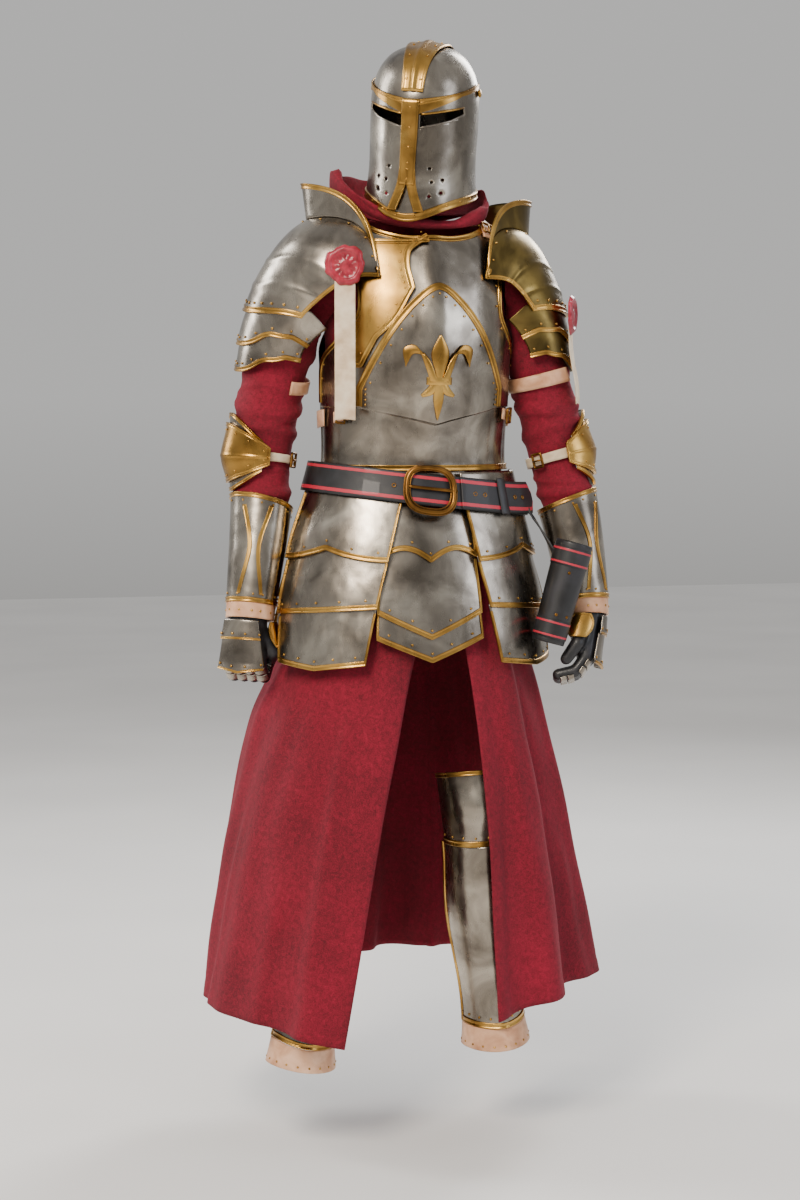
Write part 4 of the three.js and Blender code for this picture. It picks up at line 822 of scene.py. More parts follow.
# Robe
ROBE_LIFT = -11
ROBE_NECK = 1566
WAIST = 1095
TUCK = 1.004  # how far a front panel runs on under the back panel at their seam
SKIRT_BLEND = 60
ARMHOLE = {"z": 1442, "height": 59, "angle": 31 * DEGREE}
NECK = {"start": 1502, "front": 0.3, "side": 0.7, "back": 1.0}
SKIRT = {
    "front_right": table(
        "z a0 a1 r0 rm r1 wave",
        (1095, -1, -90, 102, 118, 152, 0),
        (1000, -4, -94, 122, 142, 185, 1),
        (890, -12, -104, 136, 168, 206, 2),
        (790, -21, -108, 151, 212, 258, 4),
        (700, -26, -111, 178, 246, 292, 5),
        (540, -32, -115, 222, 290, 330, 6),
        (360, -36, -118, 266, 326, 360, 8),
        (200, -39, -120, 304, 352, 386, 11),
    ),
    "front_left": table(
        "z a0 a1 r0 rm r1 wave",
        (1095, 1, 90, 102, 112, 140, 0),
        (1000, 4, 93, 122, 130, 160, 1),
        (890, 12, 95, 140, 152, 178, 2),
        (790, 17, 95, 156, 176, 200, 4),
        (700, 18, 96, 174, 196, 222, 5),
        (540, 18, 98, 204, 226, 268, 8),
        (380, 17, 102, 226, 250, 312, 10),
        (228, 17, 106, 240, 268, 362, 12),
    ),
    "back": table(
        "z a0 a1 r0 rm r1 wave",
        (1095, 90, 270, 140, 94, 152, 0),
        (1000, 94, 265, 160, 118, 184, 1),
        (890, 96, 255, 176, 130, 205, 1),
        (790, 96.5, 251, 200, 150, 248, 4),
        (700, 97.5, 248, 221, 168, 290, 9),
        (540, 100, 244, 262, 192, 326, 12),
        (400, 104, 241, 298, 212, 350, 15),
        (262, 108, 239, 345, 226, 372, 18),
    ),
}
# Each panel's edge angles above the waist, its armhole cuts, folds and hem as (start, end, dip)
PANELS = {
    "front_right": {
        "edges": (-0.25, -89.86),
        "cuts": (0, 1),
        "folds": 2.2,
        "phase": 0.6,
        "hem": (191, 214, 16),
    },
    "front_left": {
        "edges": (0.25, 89.86),
        "cuts": (0, 1),
        "folds": 2.6,
        "phase": 2.2,
        "hem": (218, 246, 12),
    },
    "back": {
        "edges": (90.14, 269.86),
        "cuts": (1, 1),
        "folds": 4.5,
        "phase": 0.2,
        "hem": (248, 236, 14),
    },
}
# Creases on each panel: from (s, z) to (s, z), half width in s, height in mm (troughs below zero)
CREASES = {
    "front_right": [
        (0.30, 830, 0.16, 260, 0.035, 9),
        (0.55, 900, 0.47, 330, 0.050, -8),
        (0.82, 960, 0.78, 210, 0.045, 10),
        (0.68, 620, 0.66, 190, 0.030, 7),
        (0.10, 560, 0.06, 200, 0.030, -5),
        (0.93, 760, 0.90, 300, 0.030, -6),
        (0.40, 480, 0.36, 190, 0.028, 5),
    ],
    "front_left": [
        (0.22, 860, 0.30, 300, 0.040, 8),
        (0.45, 930, 0.52, 240, 0.050, -9),
        (0.72, 900, 0.74, 230, 0.040, 11),
        (0.88, 700, 0.86, 260, 0.040, -8),
        (0.12, 600, 0.10, 230, 0.035, -5),
        (0.62, 520, 0.64, 240, 0.028, 6),
    ],
    "back": [
        (0.10, 900, 0.13, 260, 0.025, 8),
        (0.28, 1000, 0.25, 250, 0.030, -11),
        (0.42, 1010, 0.40, 420, 0.022, 9),
        (0.52, 1020, 0.54, 250, 0.028, 12),
        (0.66, 980, 0.64, 300, 0.026, -10),
        (0.78, 940, 0.80, 250, 0.026, 10),
        (0.92, 820, 0.90, 260, 0.024, 7),
        (0.34, 600, 0.33, 250, 0.018, 6),
    ],
}


def panel_angle(panel, s, z):
    h = np.clip((z - ARMHOLE["z"]) / ARMHOLE["height"], -1, 1)
    take = ARMHOLE["angle"] * np.sqrt(1 - h * h)
    a0, a1 = (edge * DEGREE for edge in panel["edges"])
    turn = np.sign(a1 - a0)
    return lerp(a0 + turn * take * panel["cuts"][0], a1 - turn * take * panel["cuts"][1], s)


def skirt_point(name, s, z):
    """A panel's skirt; a front panel's side edge is the back panel's own, so that the seam stays shut."""
    r = row_at(SKIRT[name], "z", z)
    back = row_at(SKIRT["back"], "z", z)
    panel = PANELS[name]
    side_edge = {
        "front_right": (back["a1"] - 360, back["r1"]),
        "front_left": (back["a0"], back["r0"]),
        "back": (r["a1"], r["r1"]),
    }
    a1, r1 = side_edge[name]
    angle = lerp(r["a0"], a1, s) * DEGREE
    middle = 4 * s * (1 - s)
    sag = (r["rm"] - (r["r0"] + r1) / 2) * middle
    free_edge = 0 if name == "back" else 0.25 * np.clip(1 - s, 0, 1)
    swing = np.sin(2 * math.pi * panel["folds"] * s + panel["phase"])
    reach = lerp(r["r0"], r1, s) + sag + r["wave"] * swing * np.minimum(1, 1.5 * middle + free_edge)
    return stack(reach * np.sin(angle), -reach * np.cos(angle), z)


def robe_form(name):
    def point(s, z):
        s, z = arrays(s, z)
        angle = panel_angle(PANELS[name], s, z)
        c = np.cos(angle)
        share = lerp(NECK["side"], np.where(c > 0, NECK["front"], NECK["back"]), c * c)
        height = np.where(z < NECK["start"], z, NECK["start"] + (z - NECK["start"]) * share)
        bodice = trunk.above(angle, np.maximum(height, WAIST - SKIRT_BLEND), ROBE_LIFT)
        below = smooth((WAIST - z) / SKIRT_BLEND)[..., None]
        bodice[..., 2] = np.where(z < WAIST, z, bodice[..., 2])
        return bodice * (1 - below) + skirt_point(name, s, np.minimum(z, WAIST)) * below

    return Form(point, lambda s, z: stack(-8 + 0 * s, 0, z - 30), 2)


def crease_height(name, s, z):
    total = 0 * s
    for s0, top, s1, foot, width, height in CREASES[name]:
        run = np.clip((top - z) / (top - foot), 0, 1)
        fade = smooth(run * 2.4) * (0.75 + 0.25 * smooth((run - 0.5) * 2))
        middle = lerp(s0, s1, run) + 0.006 * np.sin(z / 61 + 9 * s0)
        total = total + height * fade * np.exp(-(((s - middle) / (width * (0.8 + 0.5 * run))) ** 2))
    return total


def add_robe(name, columns):
    panel = PANELS[name]
    hem0, hem1, dip = panel["hem"]

    def at(s, t):
        foot = lerp(hem0, hem1, s) + dip * np.sin(math.pi * s)
        tucked = s if name == "back" else TUCK * s
        return tucked, lerp(ROBE_NECK, foot, t)

    def lift(s, t):
        foot = at(s, 1.0)[1]
        z = at(s, t)[1]
        hem = -1.2 * bump(z - foot, 24, 2.2) + 0.5 * smooth((24 - (z - foot)) / 6)
        ripple = 1.5 * np.sin(17 * s + z / 90) * np.sin(z / 47 + 5 * s) * smooth((WAIST - 60 - z) / 200)
        seams = smooth((1 - s) / 0.06) * (smooth(s / 0.04) if name == "back" else 1)
        return hem + seams * (ripple + crease_height(name, s, z) * smooth((WAIST - 40 - z) / 160))

    plate = {"on": robe_form(name), "at": at, "lift": lift, "thick": CLOTH}
    piece = plate_piece("robe_" + name, plate, columns, 150, cloth)
    return dress(piece, "red_cloth", "robe_" + name)


ROBE_COLUMNS = {"front_right": 56, "front_left": 56, "back": 96}
robe = {name: add_robe(name, columns) for name, columns in ROBE_COLUMNS.items()}


# Cowl
COWL_STEP = 0.04


def cowl_hollow(u, v):
    """A point inside the roll, from which its faces look outwards."""
    along = cowl_point(u, v + COWL_STEP) - cowl_point(u, v - COWL_STEP)
    out = stack(np.sin(u), -np.cos(u), 0 * u)
    inwards = out * -along[..., 2:3]
    inwards[..., 2] += np.sum(along * out, -1)
    return cowl_point(u, v) + inwards


def cowl_folds(s, t):
    """Soft creases round the roll, deepest over its top."""
    u = 2 * math.pi * s
    over = np.sin(math.pi * t) ** 0.7
    long_folds = 2.6 * np.sin(2 * u + 0.8 + 2.4 * t) + 1.8 * np.sin(5 * u + 2.1 - 3 * t)
    return over * (long_folds + 1.3 * np.sin(11 * u + 7 * t)) - 3.5


cowl_plate = {
    "on": Form(cowl_point, cowl_hollow, COWL_STEP),
    "at": lambda s, t: (2 * math.pi * s, 5 * t),
    "lift": cowl_folds,
    "thick": CLOTH,
    "is_tube": True,
}
cowl = add_plate("cowl", cowl_plate, 128, 40, cloth)

# Sleeves
# Broad folds as (row, height, turn, width), and creases as (row, height, turn, width, slant)
SLEEVE_FOLDS = [
    (1.6, 4, 1.4, 0.15),
    (2.4, 5, 2.6, 0.14),
    (2.95, 6, 0.9, 0.12),
    (3.45, 5, 4.1, 0.1),
    (4.95, 6, 1.1, 0.12),
]
SLEEVE_CREASES = [
    (1.25, 2.0, 0.4, 0.07, 0.30),
    (2.1, 3.0, 2.9, 0.06, -0.35),
    (2.7, 3.2, 4.8, 0.05, 0.30),
    (3.2, 3.0, 0.2, 0.05, 0.22),
    (3.72, 2.6, 3.0, 0.05, -0.30),
    (4.62, 3.4, 5.3, 0.06, 0.25),
    (5.25, 3.0, 2.2, 0.06, -0.20),
]
CUFF = 6.2
SLEEVE_CLEARANCE = 4
ROBE_FACE = ROBE_LIFT + CLOTH + SLEEVE_CLEARANCE
PLATE_FACE = 10


def beside_trunk(points, side):
    r = row_at(TRUNK, "z", points[..., 2])
    height = lerp(PLATE_FACE, ROBE_FACE, smooth((points[..., 2] - 1340) / 60))
    depth = np.where(points[..., 1] < 0, r["front"], r["back"]) + height
    round_there = np.sqrt(np.clip(1 - (points[..., 1] / depth) ** 2, 0, 1))
    x = r["cx"] + side * (r["side"] + height) * round_there
    moved = points.copy()
    moved[..., 0] = np.where((points[..., 0] - x) * side < 0, x, points[..., 0])
    return moved


def sleeve_form(side):
    def point(u, v):
        u, v = arrays(u, v)
        angle = side * (math.pi / 2 - ARMHOLE["angle"] * np.cos(u))
        hole = trunk.above(angle, ARMHOLE["z"] + ARMHOLE["height"] * np.sin(u), ROBE_FACE)
        height = sum(h * bump(v, k + 0.12 * np.sin(u + turn), w) for k, h, turn, w in SLEEVE_FOLDS)
        ring = arm[side].above(u, np.maximum(v, 0.01), height)
        share = smooth(v / 0.9)[..., None]
        return beside_trunk(hole * (1 - share) + ring * share, side)

    return Form(point, lambda u, v: arm[side].centre(u, np.maximum(v, 0.3)), 0.03)


for side, label in SIDES.items():

    def creases(s, t, side=side):
        u, v = 2 * math.pi * s, CUFF * t
        total = 0 * u
        for k, height, turn, width, slant in SLEEVE_CREASES:
            reach = 0.55 + 0.45 * np.cos(u - turn * side)
            total = total + height * reach * bump(v, k + slant * np.sin(u - turn * side), width)
        return total * smooth((v - 0.9) / 0.4)

    plate = {
        "on": sleeve_form(side),
        "at": lambda s, t: (2 * math.pi * s, CUFF * t),
        "lift": creases,
        "thick": CLOTH,
        "is_tube": True,
    }
    piece = add_plate("sleeve_" + label, plate, 64, 110, cloth)

# Helm
HELM_TURN = [12 * DEGREE, 5 * DEGREE, -28 * DEGREE]
HELM_TOP = 250
helm_turn = Matrix.Rotation(HELM_TURN[2], 4, "Z") @ Matrix.Rotation(HELM_TURN[1], 4, "Y")
helm_group = Matrix.Translation((0, -18, 1588)) @ (helm_turn @ Matrix.Rotation(HELM_TURN[0], 4, "X"))
SLIT = [(14, 149), (77, 158), (78, 147), (60, 138), (14, 127)]
BREATH_HOLES = [(34, 62), (38, 40), (54, 43), (36, 17), (53, 22)]
HOLE_RADIUS = 2.6


def chin_dip(u, z):
    return -24 * bump(np.arctan2(np.sin(u), np.cos(u)), 0, 0.62) * np.clip(1 - z / 70, 0, 1)


def helm_at(s, t):
    u = 2 * math.pi * s
    z = HELM_TOP * np.sin(math.pi / 2 * t) ** 1.15
    return u, z + chin_dip(u, z)


def helm_crown(points, s, t):
    points[t > 0.9999] = (0, 0, HELM_TOP + PLATE)
    return points


helm_plate = {
    "on": helm,
    "at": helm_at,
    "lift": 0,
    "is_tube": True,
    "crown": helm_crown,
    "group": helm_group,
}
helm_shell = applied(plate_piece("helm_shell", helm_plate, 96, 64, steel))


def slit_cutter(side):
    bm = bmesh.new()
    for x, z in SLIT:
        for y in (-170, -30):
            bmesh.ops.create_vert(bm, co=metres(helm_group, np.array([side * x, y, z], float)))
    bmesh.ops.convex_hull(bm, input=bm.verts)
    return finish_mesh("slit", bm, steel)


def round_cutter(x, z, radius):
    place = helm_group @ Matrix.Translation((x, -100, z)) @ Matrix.Rotation(math.pi / 2, 4, "X")
    return cone_piece("hole", place, 16, radius, radius, 100, steel)


cutters = [slit_cutter(side) for side in SIDES]
cutters += [round_cutter(side * x, z, HOLE_RADIUS) for side in SIDES for x, z in BREATH_HOLES]
dress(applied(helm_shell, *cutters), "steel", "helm_shell")


DOME_CENTRE = 141


def in_helm(x, y, z):
    r = row_at(HELM, "z", np.minimum(z, HELM_TOP))
    depth = np.where(y < 0, r["front"], r["back"])
    return ((x / r["side"]) ** 2 + (y / depth) ** 2 < 1) & (z < HELM_TOP)


def dome_point(u, v):
    return ray_end(u, v, DOME_CENTRE, 400.0, 40, in_helm)


dome = Form(dome_point, lambda u, v: stack(0 * u, 0, DOME_CENTRE), 3)


def ridge_profile(s, rolled=1.8, ridge=0.0):
    """A band's section: two rolled sides and, if asked, a ridge along its middle."""
    return rolled * (bump(s, 0.06, 0.05) + bump(s, 0.94, 0.05)) + ridge * bump(s, 0.5, 0.09)


crest = {
    "on": dome,
    "at": lambda s, t: (lerp(23, 186, t) * DEGREE, (2 * s - 1) * lerp(17, 31, smooth(t * 2.2))),
    "lift": lambda s, t: PLATE + 2.4 + ridge_profile(s, 2.0, 3.0),
    "thick": 1.6,
    "group": helm_group,
}


def brow_at(s, t):
    angle = lerp(-94, 94, s)
    depth = 7 + 19 * np.clip(1 - np.abs(angle) / 56, 0, 1)
    return angle * DEGREE, 172 + 0.2 * np.abs(angle) - t * depth


brow = {
    "on": helm,
    "at": brow_at,
    "lift": lambda s, t: PLATE + 1.3 + 1.8 * bump(t, 0.08, 0.07) + 1.2 * bump(t, 0.3, 0.05),
    "thick": 1.4,
    "group": helm_group,
}
nasal_rows = table("k u v w", (0, 0, 173, 8.5), (1, 0, 34, 7.5))
leg_rows = table("k u v w", (0, 3.2, 62, 4.6), (1, 5.5, 30, 4.6), (2, 13, -8, 4.8))


def nasal_strip(rows, side, count, lift):
    def at(s, t):
        r = row_at(rows, "k", t * count)
        return (side * r["u"] + (2 * s - 1) * r["w"]) * DEGREE, r["v"] + 0 * s

    return {
        "on": helm,
        "at": at,
        "lift": lambda s, t: lift + ridge_profile(s, 1.7),
        "thick": 1.6,
        "group": helm_group,
    }


nasal = nasal_strip(nasal_rows, 1, 1, PLATE + 6)
helm_rim = {**helm_plate, "at": lambda s, t: helm_at(s, t * 0.05), "crown": None}


def crest_rivets():
    places = [(t, s) for t in (0.06, 0.2, 0.34, 0.48, 0.62, 0.76, 0.9) for s in (0.2, 0.8)]
    s, t = np.array([p[1] for p in places]), np.array([p[0] for p in places])
    u, v = crest["at"](s, t)
    return rivets("rivets", dome.above(u, v, PLATE + 4.4), dome.normal(u, v), 2.3, brass, helm_group)


def nasal_rivets():
    v = np.array([160.0, 128, 96, 70, 44])
    points, normals = helm.above(0 * v, v, PLATE + 7.8), helm.normal(0 * v, v)
    return rivets("rivets", points, normals, 2.2, brass, helm_group)


def slit_edge(side, corners, radius, material):
    """A rolled edge along some corners of an eye slit."""
    points = []
    for (x0, z0), (x1, z1) in zip(corners, corners[1:]):
        for q in line(9):
            x, z = lerp(x0, x1, q), lerp(z0, z1, q)
            r = row_at(HELM, "z", z)
            u = math.asin(np.clip(side * x / (r["side"] + PLATE), -1, 1))
            points.append(helm.above(u, z, PLATE - 0.2))
    return tube("slit_edge", np.array(points), radius, material, helm_group)


def helm_side_studs():
    u, z = np.array([-92.0, 92.0]) * DEGREE, np.array([176.0, 176.0])
    return rivets("studs", helm.above(u, z, PLATE + 3), helm.normal(u, z), 7.5, brass, helm_group, 0.45)


crest_parts = [plate_piece("crest", crest, 24, 60, brass), crest_rivets()]
add_group("helm_crest", crest_parts)
brow_parts = [plate_piece("brow", brow, 64, 24, brass), helm_side_studs()]
add_group("helm_brow", brow_parts)
nasal_parts = [plate_piece("nasal", nasal, 20, 24, brass), nasal_rivets()]
for side in SIDES:
    nasal_parts.append(plate_piece("leg", nasal_strip(leg_rows, side, 2, PLATE + 5.6), 16, 24, brass))
add_group("helm_nasal", nasal_parts)
trims = [border(helm_rim, "top", 13, count=120)]
trims += [studs(helm_rim, "top", 6.5, 22, 2.2)]
for side in SIDES:
    trims.append(slit_edge(side, [SLIT[0], SLIT[1]], 1.9, brass))
    trims.append(slit_edge(side, [SLIT[1], SLIT[2], SLIT[3], SLIT[4], SLIT[0]], 1.9, steel))
add_trim("helm_trim", trims)

# Cuirass
BREAST_EDGE = table(
    "z angle",
    (1545, 53),
    (1470, 49),
    (1412, 47),
    (1380, 50),
    (1345, 66),
    (1318, 82),
    (1290, 88),
    (1130, 88),
)
CUIRASS_FOOT = 1128
PLACARD = {"angle": 48, "foot": 1206, "side": 1234, "shoulder": 1268, "rise": 164}
# Where down the breastplate its waist lip stands, and where the band under it starts
LIP, UNDER = 0.86, 0.90


def keel(angle):
    return 7 * bump(angle, 0, 9)


def breast_edge(z):
    return row_at(BREAST_EDGE, "z", z)["angle"]


def placard_top(q):
    return PLACARD["shoulder"] + PLACARD["rise"] * (1 - np.abs(q) ** 1.6)


def lip_height(angle):
    return lerp(PLACARD["foot"], PLACARD["side"], np.clip(np.abs(angle) / PLACARD["angle"], 0, 1))


def breast_at(s, t):
    q = 2 * s - 1
    lip = lip_height(88 * q)
    upper = lerp(1513 + 26 * q * q, lip, np.minimum(t / LIP, 1))
    step = lerp(0, -3, np.clip((t - LIP) / (UNDER - LIP), 0, 1))
    lower = lerp(0, CUIRASS_FOOT + 3 - lip, np.clip((t - UNDER) / (1 - UNDER), 0, 1))
    z = upper + step + lower
    return q * breast_edge(z) * DEGREE, z


def breast_lift(s, t):
    u = breast_at(s, t)[0] / DEGREE
    facets = 1.4 * np.abs(np.sin(math.pi * np.clip(u / 22, -4, 4)))
    return keel(u) + np.where(t < LIP + 0.01, 2.6 * smooth(t / LIP), facets * smooth((t - UNDER) / 0.03))


breast = {"on": trunk, "at": breast_at, "lift": breast_lift}
add_plate("breastplate", breast, 96, 100, steel)



def placard_at(s, t):
    q = 2 * s - 1
    angle = q * PLACARD["angle"]
    return angle * DEGREE, lerp(placard_top(q), lip_height(angle) + 2, t)


placard = {
    "on": trunk,
    "at": placard_at,
    "lift": lambda s, t: keel((2 * s - 1) * PLACARD["angle"]) + PLATE + 4.6,
}
add_plate("placard", placard, 72, 60, steel)

CHEST_INNER = table("t u", (0, -3), (0.25, -14), (1, -13))


def chest_at(s, t):
    inner = row_at(CHEST_INNER, "t", t)["u"]
    guess = lerp(inner, -62, s)
    below = np.where(np.abs(guess) < PLACARD["angle"], placard_top(guess / PLACARD["angle"]) + 15, 0)
    z = lerp(1506, np.maximum(1300, below), t)
    return lerp(inner, -np.minimum(62, breast_edge(z) - 2.5), s) * DEGREE, z


chest = {
    "on": trunk,
    "at": chest_at,
    "lift": lambda s, t: keel(chest_at(s, t)[0] / DEGREE) + PLATE + 5.6,
    "thick": 1.2,
}
chest_parts = [
    plate_piece("chest", chest, 48, 48, brass),
    *borders(chest, {"start": 11, "foot": 9, "top": 8}),
    studs(chest, "start", 16, 8, 1.8),
    studs(chest, "foot", 13, 6, 1.8),
]
add_group("chest_plate", chest_parts)


# Badge: a lily of three petals, a band and a foot, each along (x, z, half width, tilt)
BADGE_HEIGHT = 1300
FRONT_RADIUS = 160


def petal(path, raised=0.0):
    rows = table("k x z w tilt", *[(k, *p) for k, p in enumerate(path)])
    count = len(path) - 1

    def across(s, t):
        r = row_at(rows, "k", t * count)
        return r["x"] + (2 * s - 1) * r["w"], BADGE_HEIGHT + r["z"] + (2 * s - 1) * r["tilt"]

    def at(s, t):
        x, z = across(s, t)
        return np.arcsin(x / FRONT_RADIUS), z

    def lift(s, t):
        swell = 1.6 * np.sin(math.pi * np.clip(s, 0, 1)) * np.sin(math.pi * np.clip(t, 0.02, 0.98)) ** 0.4
        return 2 * PLATE + 6.2 + raised + swell + keel(at(s, t)[0] / DEGREE)

    return plate_piece("petal", {"on": trunk, "at": at, "lift": lift, "thick": 2.2}, 14, 30, brass)


MIDDLE_PETALS = [
    (0.0, [(0, 52, 0.8, 0), (0, 22, 14, 0), (0, -14, 6, 0), (0, -50, 8, 0), (0, -84, 0.8, 0)]),
    (1.2, [(0, -15, 20, 0), (0, -27, 20, 0)]),
]
SIDE_PETALS = [
    [(50, 4, 1.5, -3), (47, 26, 8, 4), (27, 24, 8, 10), (13, -8, 6, 4), (9, -22, 5, 0)],
    [(7, -24, 5, 0), (14, -38, 5, 4), (26, -46, 1.5, 2)],
]
petals = [petal(path, raised) for raised, path in MIDDLE_PETALS]
for side in SIDES:
    for path in SIDE_PETALS:
        petals.append(petal([(side * x, z, side * width, tilt) for x, z, width, tilt in path]))
add_group("badge", petals)


# Backplate and the cuirass's brass edges
def back_at(s, t):
    q = 2 * s - 1
    z = lerp(1522 + 14 * q**2, CUIRASS_FOOT, t)
    return (180 + q * np.minimum(breast_edge(z) + 1, 89)) * DEGREE, z


back = {"on": trunk, "at": back_at, "lift": lambda s, t: 0 * s}
add_plate("backplate", back, 72, 72, steel)

cuirass_trims = [
    border(breast, "top", 10),
    *borders(breast, {"start": 9, "end": 9}, 0.0, 0.84),
    border(placard, "top", 12, count=80, bead=1.5),
    *borders(placard, {"start": 11, "end": 11}),
    border(back, "top", 10),
    border(breast, "foot", 10, count=80, height=1.6),
    studs(placard, "top", 18, 15, 2.0),
    studs(placard, "start", 16, 4, 2.0, 0.1, 0.9),
    studs(placard, "end", 16, 4, 2.0, 0.1, 0.9),
    studs(breast, "end", 14, 10, 2.2, 0.05, 0.8),
    studs(breast, "start", 14, 10, 2.2, 0.05, 0.8),
    studs(back, "top", 15, 9, 2.2),
]
add_trim("cuirass_trim", cuirass_trims)

# Straps of the cuirass
STRAP_X = {RIGHT: 113, LEFT: 98}
SHOULDER_RAY_HEIGHT = 1470


def in_trunk(x, y, z):
    r = row_at(TRUNK, "z", z)
    depth = np.where(y < 0, r["front"], r["back"])
    return ((x - r["cx"]) / r["side"]) ** 2 + (y / depth) ** 2 < 1


def shoulder_ray(u, v):
    return ray_end(u, v, SHOULDER_RAY_HEIGHT, 200.0, 30, in_trunk)


over_shoulder = Form(shoulder_ray, lambda u, v: stack(v * 0.6, 0, SHOULDER_RAY_HEIGHT), 2)


BUCKLE_WIRE = 2.2


def buckle(place, width, length):
    """A small square buckle with its prong, in place's plane: x across the strap, y along it."""
    w, h = width / 2 + 3, length / 2
    corners = [(-w, -h), (w, -h), (w, h), (-w, h)]
    points = []
    for (x0, y0), (x1, y1) in zip(corners, corners[1:] + corners[:1]):
        for q in line(6)[:-1]:
            points.append((lerp(x0, x1, q), lerp(y0, y1, q), 2.5))
    ring = tube("ring", points, BUCKLE_WIRE, old_brass, place, closed=True)
    prong = tube("prong", [(0, -h, 3.5), (0, 0, 5), (0, h, 4.2)], BUCKLE_WIRE * 0.7, old_brass, place)
    return [ring, prong]


def on_plate(plate, s, t):
    """A place on a plate's outer face: z out of it, x along its s, in the floor's millimetres."""
    points, normals = outer_face(plate, np.array([s, s + 0.02]), np.array([t, t]))
    out = Vector(normals[0])
    x = Vector(points[1] - points[0])
    x = (x - out * x.dot(out)).normalized()
    return Matrix.Translation(points[0]) @ Matrix((x, out.cross(x), out)).transposed().to_4x4()


for side, label in SIDES.items():
    over = {
        "on": over_shoulder,
        "at": lambda s, t, side=side: (lerp(32, 148, t) * DEGREE, side * (STRAP_X[side] + lerp(-9, 9, s))),
        "lift": lambda s, t: lerp(-8.5, 5.2, smooth((np.abs(2 * t - 1) - 0.2) / 0.25)),
        "thick": LEATHER,
    }
    add_plate("shoulder_strap_" + label, over, 6, 60, tan)
    add_trim("shoulder_buckle_" + label, buckle(on_plate(over, 0.5, 0.1), 18, 20))
    name, path = "side_strap_" + label, [(side * 80, 1216, 0, 14), (side * 98, 1212, 0, 14)]
    dress(strap_along(name, trunk, path, PLATE + 3, LEATHER, tan)[0], "tan_leather", name)
    path = [(side * 52, 1224, 0, 9), (side * 66, 1217, 0, 9)]
    tab, plate = strap_along("side_tab_" + label, trunk, path, PLATE + 6.6, LEATHER, tan)
    dress(tab, "tan_leather")
    add_trim("side_buckle_" + label, buckle(on_plate(plate, 0.5, 0.5), 18, 18))


# Lames: each overlaps the next and steps out to its rolled foot
def lame_plates(on, left, right, levels, lift, step, overlap=0.06):
    plates = []
    for k in range(len(levels) - 1):

        def at(s, t, k=k):
            top = levels[k](s) if k == 0 else lerp(levels[k](s), levels[k - 1](s), overlap)
            v = lerp(top, levels[k + 1](s), t)
            return lerp(left(v), right(v), s) * DEGREE, v

        def height(s, t, k=k):
            start = 0.0 if k == 0 else 0.12
            return lift + step * lerp(start, 1.0, smooth(t)) + 0.7 * np.sin(math.pi * s)

        plates.append({"on": on, "at": at, "lift": height})
    return plates


def vee(s):
    """1 at the middle, 0 at both ends."""
    return 1 - np.abs(2 * s - 1)


FAULD = {
    "front": [
        lambda s: 1127.4 + 0 * s,
        lambda s: 984 + 16 * np.abs(np.sin(2 * math.pi * s)) - 8 * vee(s),
        lambda s: 892 - 42 * vee(s),
        lambda s: 850 - 38 * vee(s),
    ],
    "side": [
        lambda s: 1124 + 0 * s,
        lambda s: 976 + 18 * vee(s) ** 2,
        lambda s: 900 - 14 * s,
        lambda s: 808 - 10 * vee(s),
    ],
    "back": [
        lambda s: 1127.4 + 0 * s,
        lambda s: 984 + 10 * vee(s),
        lambda s: 912 + 0 * s,
        lambda s: 862 - 12 * vee(s),
    ],
}


def add_lames(name, left, right, levels, lift, columns):
    """One piece of steel lames for the node, and one of their brass borders and rivets."""
    plates = lame_plates(trunk, left, right, levels, lift, 5)
    walls = [plate_piece("lame", plate, columns, 24, steel) for plate in plates]
    add_group(name, walls, "steel")
    trims = []
    for plate in plates:
        trims.append(border(plate, "foot", 9, count=64))
        trims += borders(plate, {"start": 4, "end": 4}, 0.12, 1.0, bead=0.8)
        trims.append(studs(plate, "foot", 15, 5, 2.2, 0.08, 0.92))
    add_trim(name + "_trim", trims)


def straight_edge(angle):
    return lambda v: angle


def tasset_edge(side, low, high):
    """A tasset's edge, its angle changing from a low height of 800 to a high one of 1100."""
    return lambda v: side * lerp(low, high, np.clip((v - 800) / 300, 0, 1))


add_lames("fauld", straight_edge(-25), straight_edge(22), FAULD["front"], 3, 48)
for side, label in SIDES.items():
    edges = tasset_edge(side, 30, 16), tasset_edge(side, 76, 92)
    add_lames("tasset_" + label, *edges, FAULD["side"], 13.4, 56)
add_lames("culet", straight_edge(97), straight_edge(263), FAULD["back"], 3, 72)


# Shoulder guards
NECK_EDGE = {RIGHT: 1.05, LEFT: 1.2}
COP_LIFT = 8


def cop_foot(u):
    return 2.2 + 0.72 * np.sin(u)


def guard_form(side):
    base = shoulder[side]

    def row_of(u, v):
        return lerp(NECK_EDGE[side] * bump(u, 92 * DEGREE, 0.9), cop_foot(u), np.maximum(v, 0))

    def point(u, v):
        u, v = arrays(u, v)
        height = np.maximum(-v, 0) * (5 + 58 * bump(u, 95 * DEGREE, 1))
        return base.above(u, row_of(u, v), COP_LIFT) + height[..., None] * np.array([side * 0.1, 0.1, 0.99])

    def centre(u, v):
        u, v = arrays(u, v)
        neck = np.array([0.0, 0.0, 1480.0])
        return np.where((v < 0)[..., None], neck, base.centre(u, row_of(u, v)))

    return Form(point, centre, 0.02)


